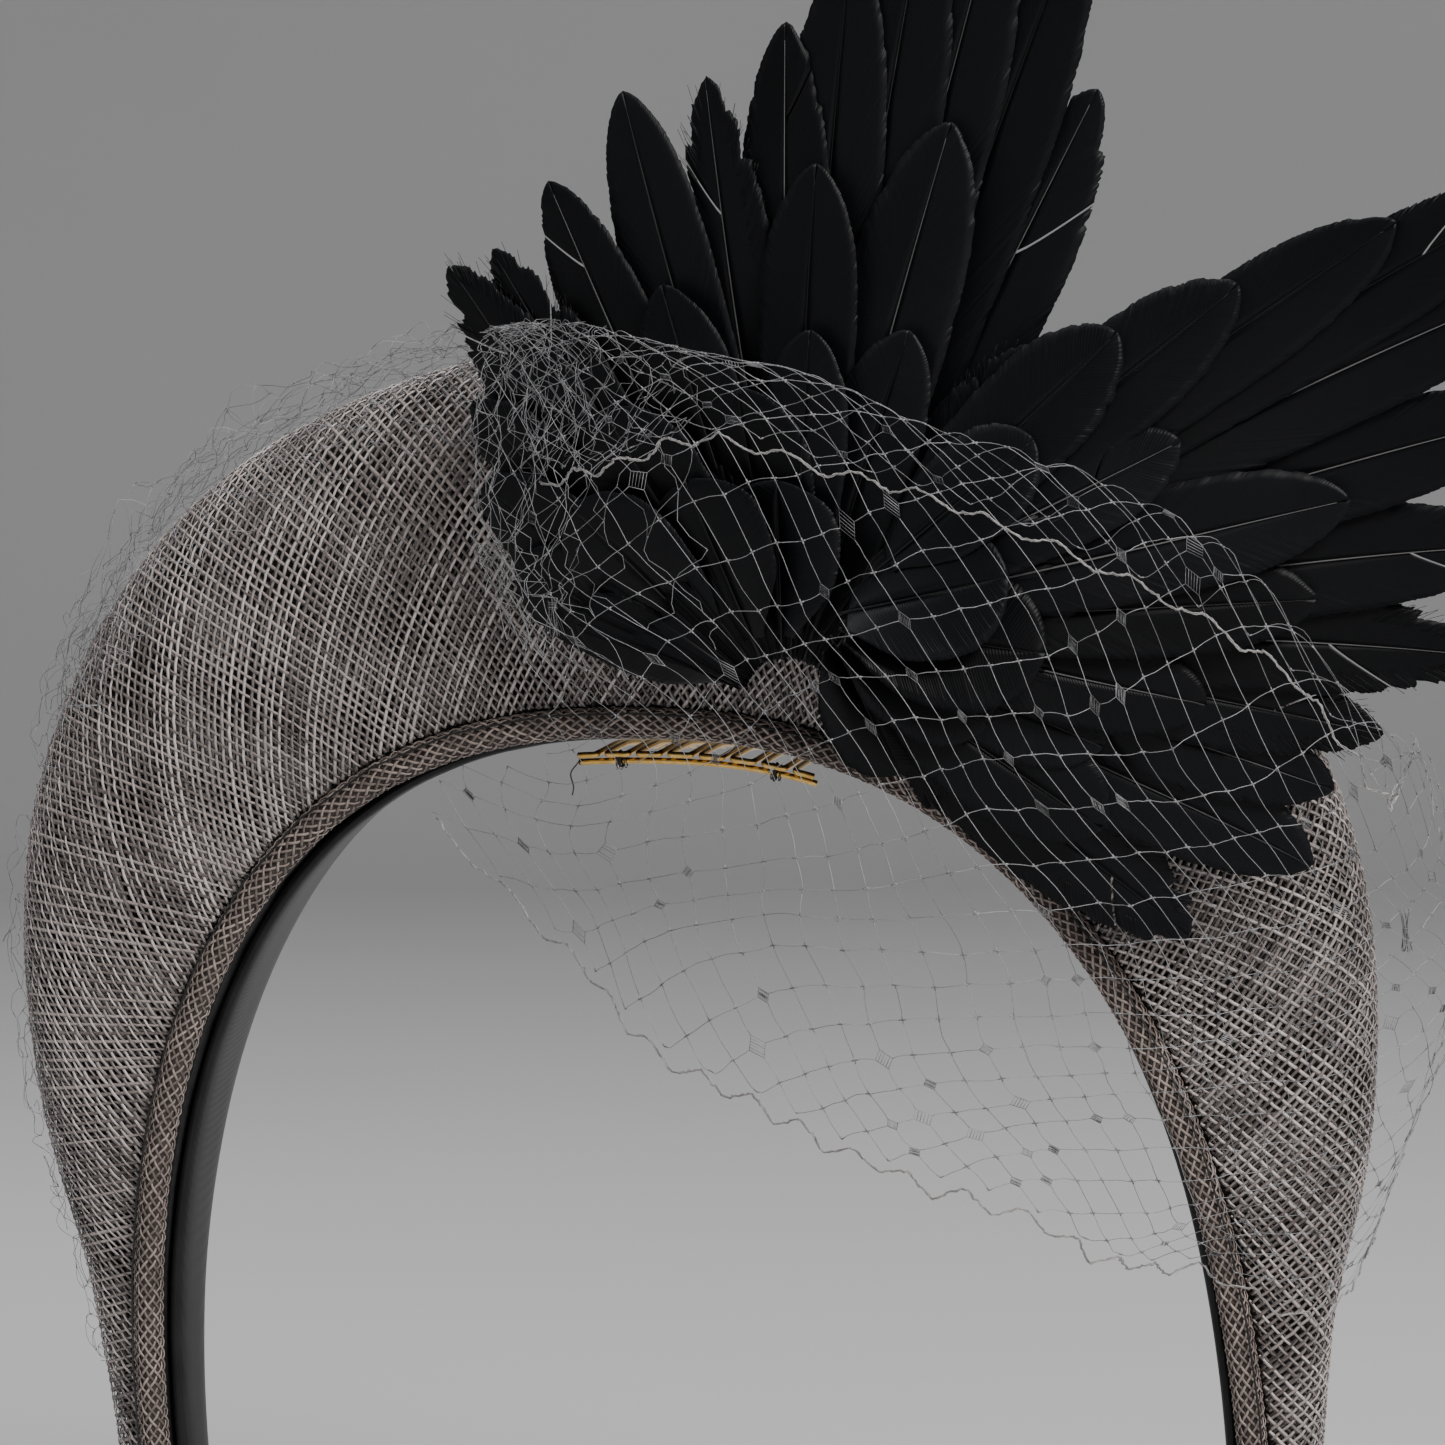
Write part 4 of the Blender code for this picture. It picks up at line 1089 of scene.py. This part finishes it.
def padded_ends(a, axis):
    a = np.moveaxis(a, axis, 0)
    a = np.concatenate([2 * a[:1] - a[1:2], a, 2 * a[-1:] - a[-2:-1]])
    return np.moveaxis(a, 0, axis)


VEIL_GHOST = padded_ends(padded_ends(VEIL, 0), 1)


def veil_point(u, v):
    """The veil's middle surface: u from the right gather to the left one, v from upper to lower selvedge."""
    u, v = np.asarray(u, float), np.asarray(v, float)
    share = np.interp(v, VEIL_ACROSS, np.linspace(0, 1, len(VEIL_ACROSS)))
    i, wi = spline_weights(u, len(VEIL_ROWS) - 1)
    j, wj = spline_weights(share, len(VEIL_ACROSS) - 1)
    out = 0
    for a in range(4):
        for b in range(4):
            out = out + VEIL_GHOST[i + a, j + b] * (wi[..., a] * wj[..., b])[..., None]
    return out


def veil_normal(u, v):
    d = 0.004
    along = veil_point(u + d, v) - veil_point(u - d, v)
    across = veil_point(u, v + d) - veil_point(u, v - d)
    return unit(np.cross(along, across))


WAVES = [
    (rng.uniform(4, 16), rng.uniform(3, 11), rng.uniform(0, 6.28), rng.uniform(0.5, 1.0)) for _ in range(9)
]


def ripple(u, v, shift):
    """A smooth wander between about -1 and 1."""
    total = 0
    for k, (a, b, c, size) in enumerate(WAVES):
        total = total + size * np.sin(a * u * 2 + b * v * 2 + c + shift * (k + 1))
    return total / 3.0


def gathered(u, v):
    """Draws the net's right-hand edge in towards its stitches, most of all below the middle."""
    pull = 0.115 * np.exp(-(((v - 0.60) / 0.17) ** 2)) + 0.02 * np.exp(-(((v - 0.25) / 0.12) ** 2))
    return pull + u * (1 - pull)


def slewed(u, v):
    """Turns the netting's rows along the veil, where it is drawn on the bias."""
    return np.clip(v + 0.19 * np.sin(math.pi * np.clip(v, 0, 1)) * np.sin(math.pi * (u - 0.5)), 0, 1)


def veil_place(u, v):
    """A point of the net as it hangs, a little off the middle surface."""
    v = slewed(u, v)
    uu = np.clip(gathered(u, v) + 0.006 * ripple(u, v, 0.4), 0, 1)
    vv = np.clip(v + 0.010 * ripple(u, v, 1.7), 0, 1)
    lift = 0.0011 * ripple(u, v, 2.9)
    return veil_point(uu, vv) + veil_normal(uu, vv) * lift[..., None]


class Net:
    """Diamond netting on a surface: threads tied at every crossing, with woven spots at some of them."""

    def __init__(
        self, place, normal_of, across_u, across_v, wander=0.055, skip=0.0, spots=0.0, slack=0.00012
    ):
        self.place, self.normal_of, self.slack = place, normal_of, slack
        self.across = across_u, across_v
        self.nodes, self.kinds, self.corners = {}, {}, {}
        self.lines, self.normals, self.knots, self.knot_normals = [], [], [], []
        self.fill, self.fill_normals = [], []
        for i in range(across_u + 1):
            for j in range(across_v + 1):
                if (i + j) % 2 == 0:
                    self.add_crossing(i, j, wander, spots)
        for (i, j) in list(self.nodes):
            for step in (-1, 1):
                if (i + step, j + 1) in self.nodes and rng.random() >= skip:
                    self.add_edge((i, j), (i + step, j + 1))
        for key, corners in self.corners.items():
            self.add_spot(key, corners)

    def add_crossing(self, i, j, wander, spots):
        du, dv = rng.normal(0, wander, 2)
        rim = j in (0, self.across[1])
        u, v = (i + du) / self.across[0], (j + (0.0 if rim else dv)) / self.across[1]
        self.nodes[i, j] = u, v
        chance = rng.random()
        if not rim and chance < spots:
            self.kinds[i, j] = LADDER_SHARE if chance < 0.4 * spots else SPOT_SHARE

    def add_edge(self, a, b):
        (u0, v0), (u1, v1) = self.nodes[a], self.nodes[b]
        low, high = self.kinds.get(a, 0.0), 1 - self.kinds.get(b, 0.0)
        f = low + (high - low) * np.linspace(0, 1, 5)
        u, v = u0 + (u1 - u0) * f, v0 + (v1 - v0) * f
        line, normal = self.place(u, v), self.normal_of(u, v)
        side = unit(np.cross(line[-1] - line[0], normal[0]))
        sag = np.sin(math.pi * np.linspace(0, 1, 5))[:, None]
        kink = rng.normal(0, 0.3, (5, 1)) * sag
        line = line + side * (sag * rng.normal(0, self.slack) + kink * self.slack)
        line = line + normal * sag * rng.normal(0, self.slack)
        self.lines.append(line)
        self.normals.append(normal)
        for key, end, inner in ((a, line[0], line[1]), (b, line[-1], line[-2])):
            if key in self.kinds:
                self.corners.setdefault(key, []).append(end)
            else:
                reach = min(0.00045 / max(np.linalg.norm(inner - end), 1e-9), 0.6)
                self.knots.append(np.stack([end, end + (inner - end) * reach]))
                self.knot_normals.append(normal[:2])

    def add_spot(self, key, corners):
        """A frame through the four threads' ends, filled with rungs or with a close zigzag."""
        if len(corners) < 4:
            return
        u, v = (np.array([value]) for value in self.nodes[key])
        centre, normal = self.place(u, v)[0], self.normal_of(u, v)[0]
        one = unit(corners[0] - centre)
        two = np.cross(normal, one)
        corners = sorted(corners, key=lambda c: math.atan2((c - centre) @ two, (c - centre) @ one))
        a, b, c, d = corners[:4]
        ring = np.stack([a, b, c, d, a])
        if self.kinds[key] == LADDER_SHARE:
            paths = [ring] + [np.stack([a + (b - a) * t, d + (c - d) * t]) for t in (0.2, 0.4, 0.6, 0.8)]
        else:
            t = np.linspace(0.05, 0.95, 13)[:, None]
            near, far = a + (b - a) * t, d + (c - d) * t
            path = np.where(np.arange(13)[:, None] % 2, near, far)
            paths = [ring, path + normal * rng.normal(0, 0.00008, (13, 1))]
        for path in paths:
            self.fill.append(path)
            self.fill_normals.append(np.broadcast_to(normal, path.shape))

    def build(self, build, thread, knot, low=0.2, high=1.0):
        tones = rng.uniform(low, high, len(self.lines))
        strands(build, self.lines, self.normals, thread, sides=6, tones=tones)
        tones = rng.uniform(low, high, len(self.knots))
        strands(build, self.knots, self.knot_normals, knot, sides=4, tones=tones)
        if self.fill:
            strands(build, self.fill, self.fill_normals, thread * 0.95, sides=4)


def zigzag(v, count, depth):
    """The edge of the net as points: it steps in and out between the meshes."""
    inner = v + 0.02 if v < 0.5 else v - 0.02
    u = np.linspace(0, 1, count)
    here = veil_place(u, np.full(count, v))
    away = unit(here - veil_place(u, np.full(count, inner)))
    reach = np.where(np.arange(count) % 2, depth, 0.0) * rng.uniform(0.75, 1.25, count)
    corners = here + away * (0.0004 + reach)[:, None]
    f = np.linspace(0, 1, 9)[:-1, None]
    spans = [a + (b - a) * f for a, b in zip(corners[:-1], corners[1:])]
    line = np.concatenate([*spans, corners[-1:]])
    smooth = line.copy()
    smooth[1:-1] = (line[:-2] + 2 * line[1:-1] + line[2:]) / 4
    return smooth + 0.00009 * rng.normal(size=smooth.shape)


def twisted_cord(build, line):
    """A loose cord of fine threads round a line."""
    run = np.concatenate([[0], np.cumsum(np.linalg.norm(np.diff(line, axis=0), axis=1))])
    lines, normals = [], []
    for k in range(CORD_THREADS):
        turn = 2 * math.pi * (k / CORD_THREADS + run / CORD_TWIST_LENGTH) + 0.5 * np.sin(run * 900 + k)
        off = np.stack([np.cos(turn), 0.6 * np.cos(turn + 1.0), np.sin(turn)], -1) * SELVEDGE_TWIST
        lines.append(line + off + 0.00003 * rng.normal(size=line.shape))
        normals.append(facing([0.2, -1.0, 0.1], line))
    strands(build, lines, normals, SELVEDGE_THREAD, sides=6)


def crumpled(reach_u, low_v, high_v, lift):
    """The drawn-up right-hand edge of the veil: a strip of it, pushed off its surface in folds."""

    def place(u, v):
        uu, vv = reach_u * np.clip(u, 0, 1) ** 1.5, low_v + (high_v - low_v) * v
        fold = lift * (0.5 + ripple(u * 3, v * 2.5, lift * 700))
        return veil_place(uu, vv) + veil_normal(uu, vv) * fold[..., None]

    def normal(u, v):
        return veil_normal(reach_u * np.clip(u, 0, 1) ** 1.5, low_v + (high_v - low_v) * v)

    return place, normal


def make_veil():
    u_len = np.linalg.norm(np.diff(veil_point(np.linspace(0, 1, 80), np.full(80, 0.4)), axis=0), axis=1).sum()
    v_len = np.linalg.norm(np.diff(veil_point(np.full(80, 0.5), np.linspace(0, 1, 80)), axis=0), axis=1).sum()
    across_u, across_v = round(u_len / NET_STEP_ALONG), 2 * round(v_len / NET_STEP_DOWN / 2)
    build = Build()
    Net(veil_place, veil_normal, across_u, across_v, spots=0.14).build(build, NET_THREAD, KNOT_RADIUS)
    for reach, low, high, lift in ((0.20, 0.0, 0.60, 0.0022), (0.12, 0.05, 0.66, -0.0016)):
        place, normal = crumpled(reach, low, high, lift)
        net = Net(place, normal, 15, 16, wander=0.17, skip=0.15, slack=0.0004)
        net.build(build, CRUMPLE_THREAD, CRUMPLE_THREAD * 1.5, 0.0, 0.8)
    finish_piece(build, "veil_netting", "veil_net", ["net"])
    for name, node, v, count in (
        ("selvedge_upper", "veil_selvedge_upper", 0.0, 36),
        ("selvedge_lower", "veil_selvedge_lower", 1.0, 40),
    ):
        build = Build()
        twisted_cord(build, zigzag(v, count, 0.0022))
        finish_piece(build, name, node, ["selvedge"])
    make_gathers()


def make_gathers():
    """The net's two ends, drawn into a knot of its own threads and sewn down."""
    for name, node, centre, size in (
        ("gather_right", "veil_gather_right", (-0.0065, -0.0120, 0.1545), (0.0016, 0.0012, 0.0042)),
        ("gather_left", "veil_gather_left", (0.1015, 0.0225, 0.100), (0.0008, 0.0007, 0.0030)),
    ):
        build = Build()
        lines, normals = [], []
        for _ in range(16):
            height, turn = np.linspace(-1, 1, 9), rng.uniform(0, 2 * math.pi)
            wide = 0.35 + 0.65 * np.abs(height) ** 1.5 * rng.uniform(0.5, 1.2)
            x = np.cos(turn + height * rng.normal(0, 0.8)) * wide
            y = np.sin(turn + height * rng.normal(0, 0.8)) * wide
            lines.append(np.stack([x, y, height], -1) * size + centre)
            normals.append(np.broadcast_to([0.3, -1.0, 0.2], (9, 3)))
        for k in range(5):
            turn = np.linspace(0, 2 * math.pi, 15)
            ring = np.stack([0.45 * np.cos(turn), 0.45 * np.sin(turn), 0 * turn + (k - 2) * 0.055], -1)
            lines.append(ring * size + centre)
            normals.append(np.broadcast_to([0.1, 0.1, 1.0], (15, 3)))
        strands(build, lines, normals, CRUMPLE_THREAD, sides=4)
        finish_piece(build, name, node, ["net"])


def tail_surface(low, high, puff, shift):
    """Places on the veil's tail between two stations of the arch: it stands off the crown by about puff."""

    def turn_at(u, v):
        s = low + (high - low) * np.clip(u, 0, 1)
        return s, math.pi * (TAIL_ROUND[0] + (TAIL_ROUND[1] - TAIL_ROUND[0]) * np.clip(v, 0, 1))

    def place(u, v):
        bulge = (np.sin(math.pi * np.clip(u, 0, 1)) * np.sin(math.pi * np.clip(v, 0, 1))) ** 0.45
        wave = 0.80 + 0.32 * ripple(u * 2.2, v * 1.5, shift)
        return crown(*turn_at(u, v), 0.0006 + puff * bulge * np.abs(wave))

    def normal(u, v):
        return crown_normal(*turn_at(u, v))

    return place, normal


def make_tail():
    """The crumpled end of the net: three loose layers beside the upper wing, one thin one down the side."""
    build = Build()
    for number, (low, puff, across_u, across_v) in enumerate(TAIL_LAYERS):
        place, normal = tail_surface(low, TAIL_ALONG[1], puff, number + 1.3)
        net = Net(place, normal, across_u, across_v, wander=0.28, skip=0.12, slack=0.0008)
        net.build(build, CRUMPLE_THREAD, CRUMPLE_THREAD * 1.5, 0.1, 1.0)
    place, normal = tail_surface(TAIL_ALONG[0], -0.30, TAIL_PUFF * 0.5, 0.5)
    net = Net(place, normal, 34, 12, wander=0.28, skip=0.45, slack=0.0008)
    net.build(build, CRUMPLE_THREAD * 0.8, CRUMPLE_THREAD * 1.2, 0.0, 0.7)
    finish_piece(build, "veil_tail_netting", "veil_tail", ["net"])


# ---- what stays from the frame ----
def finish_frame_nodes():
    looks = {
        "band_core": "plastic",
        "crown_padding": "padding",
        "base_lining": "lining",
        "front_binding": "roll",
        "back_binding": "roll",
        "front_edge_wire": "steel",
        "back_edge_wire": "steel",
        "front_stitching": "thread",
        "back_stitching": "thread",
        "comb_stitch_left": "thread",
        "comb_stitch_right": "thread",
    }
    for node, look in looks.items():
        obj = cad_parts[node]
        for slot in obj.material_slots:
            slot.material = MATS[look]


# ---- stage ----
FLOOR_FLAT, FLOOR_CURVE, WALL_TOP = 1.8, 0.8, 1.4
LOOK_AT = Vector((0.0151, -0.040, 0.1315))
CAMERA_TURN, CAMERA_RISE, CAMERA_DISTANCE = math.radians(17), math.radians(2), 0.8
CAMERA_LENS, CAMERA_SENSOR = 147.2, 36.0
# Area lights as (name, place, size, watts, colour).
LIGHTS = [
    ("key", (1.15, -1.00, 1.15), (0.7, 0.7), 37.0, (1.0, 0.985, 0.97)),
    ("fill", (-1.20, -0.95, 1.05), (0.9, 1.2), 3.0, (0.97, 0.985, 1.0)),
    ("top", (-0.20, 0.10, 1.45), (1.1, 0.7), 14.0, (1.0, 1.0, 1.0)),
]


def make_stage():
    """A pale floor that curves up all round, three soft lights and the camera."""
    profile = [(0.02, 0.0), (0.6, 0.0), (1.2, 0.0), (FLOOR_FLAT, 0.0)]
    for k in range(1, 13):
        turn = math.pi / 2 * k / 12
        profile.append((FLOOR_FLAT + FLOOR_CURVE * math.sin(turn), FLOOR_CURVE * (1 - math.cos(turn))))
    profile.append((FLOOR_FLAT + FLOOR_CURVE, WALL_TOP))
    sides, rings = 96, len(profile)
    points = [(0.0, 0.0, CAD_BOX[0][2])]
    for k in range(sides):
        x, y = math.cos(2 * math.pi * k / sides), math.sin(2 * math.pi * k / sides)
        points += [(r * x, r * y, CAD_BOX[0][2] + z) for r, z in profile]
    faces = []
    for k in range(sides):
        low, high = 1 + k * rings, 1 + (k + 1) % sides * rings
        faces.append((0, low, high))
        faces += [(low + j, low + j + 1, high + j + 1, high + j) for j in range(rings - 1)]
    mesh = bpy.data.meshes.new("floor")
    mesh.from_pydata(points, [], faces)
    mesh.shade_smooth()
    mesh.materials.append(floor_material())
    link("floor", mesh)

    for name, place, size, power, colour in LIGHTS:
        light = bpy.data.lights.new(name, "AREA")
        light.shape = "RECTANGLE"
        light.size, light.size_y = size
        light.energy = power
        light.color = colour
        obj = link(name, light)
        obj.location = place
        obj.rotation_euler = (LOOK_AT - Vector(place)).to_track_quat("-Z", "Y").to_euler()

    world = bpy.data.worlds.new("studio")
    world.use_nodes = True
    sky = world.node_tree.nodes["Background"].inputs
    sky["Color"].default_value = (0.80, 0.81, 0.83, 1.0)
    sky["Strength"].default_value = 0.20
    bpy.context.scene.world = world

    flat = math.cos(CAMERA_RISE)
    back = Vector((math.sin(CAMERA_TURN) * flat, -math.cos(CAMERA_TURN) * flat, math.sin(CAMERA_RISE)))
    camera = bpy.data.cameras.new("camera")
    camera.lens = CAMERA_LENS
    camera.sensor_width = CAMERA_SENSOR
    camera.clip_start = 0.01
    obj = link("camera", camera)
    obj.location = LOOK_AT + back * CAMERA_DISTANCE
    obj.rotation_euler = (-back).to_track_quat("-Z", "Y").to_euler()
    bpy.context.scene.camera = obj


# ---- the headpiece ----
make_stage()
make_sinamay()
make_binding("front_roll_threads", front=True)
make_binding("back_roll_threads", front=False)
make_band()
make_end_cap("ribbon_end_left", "end_cap_left", 1)
make_end_cap("ribbon_end_right", "end_cap_right", -1)
make_comb()
make_comb_threads()
make_pads()
make_wings()
make_veil()
make_tail()
finish_frame_nodes()
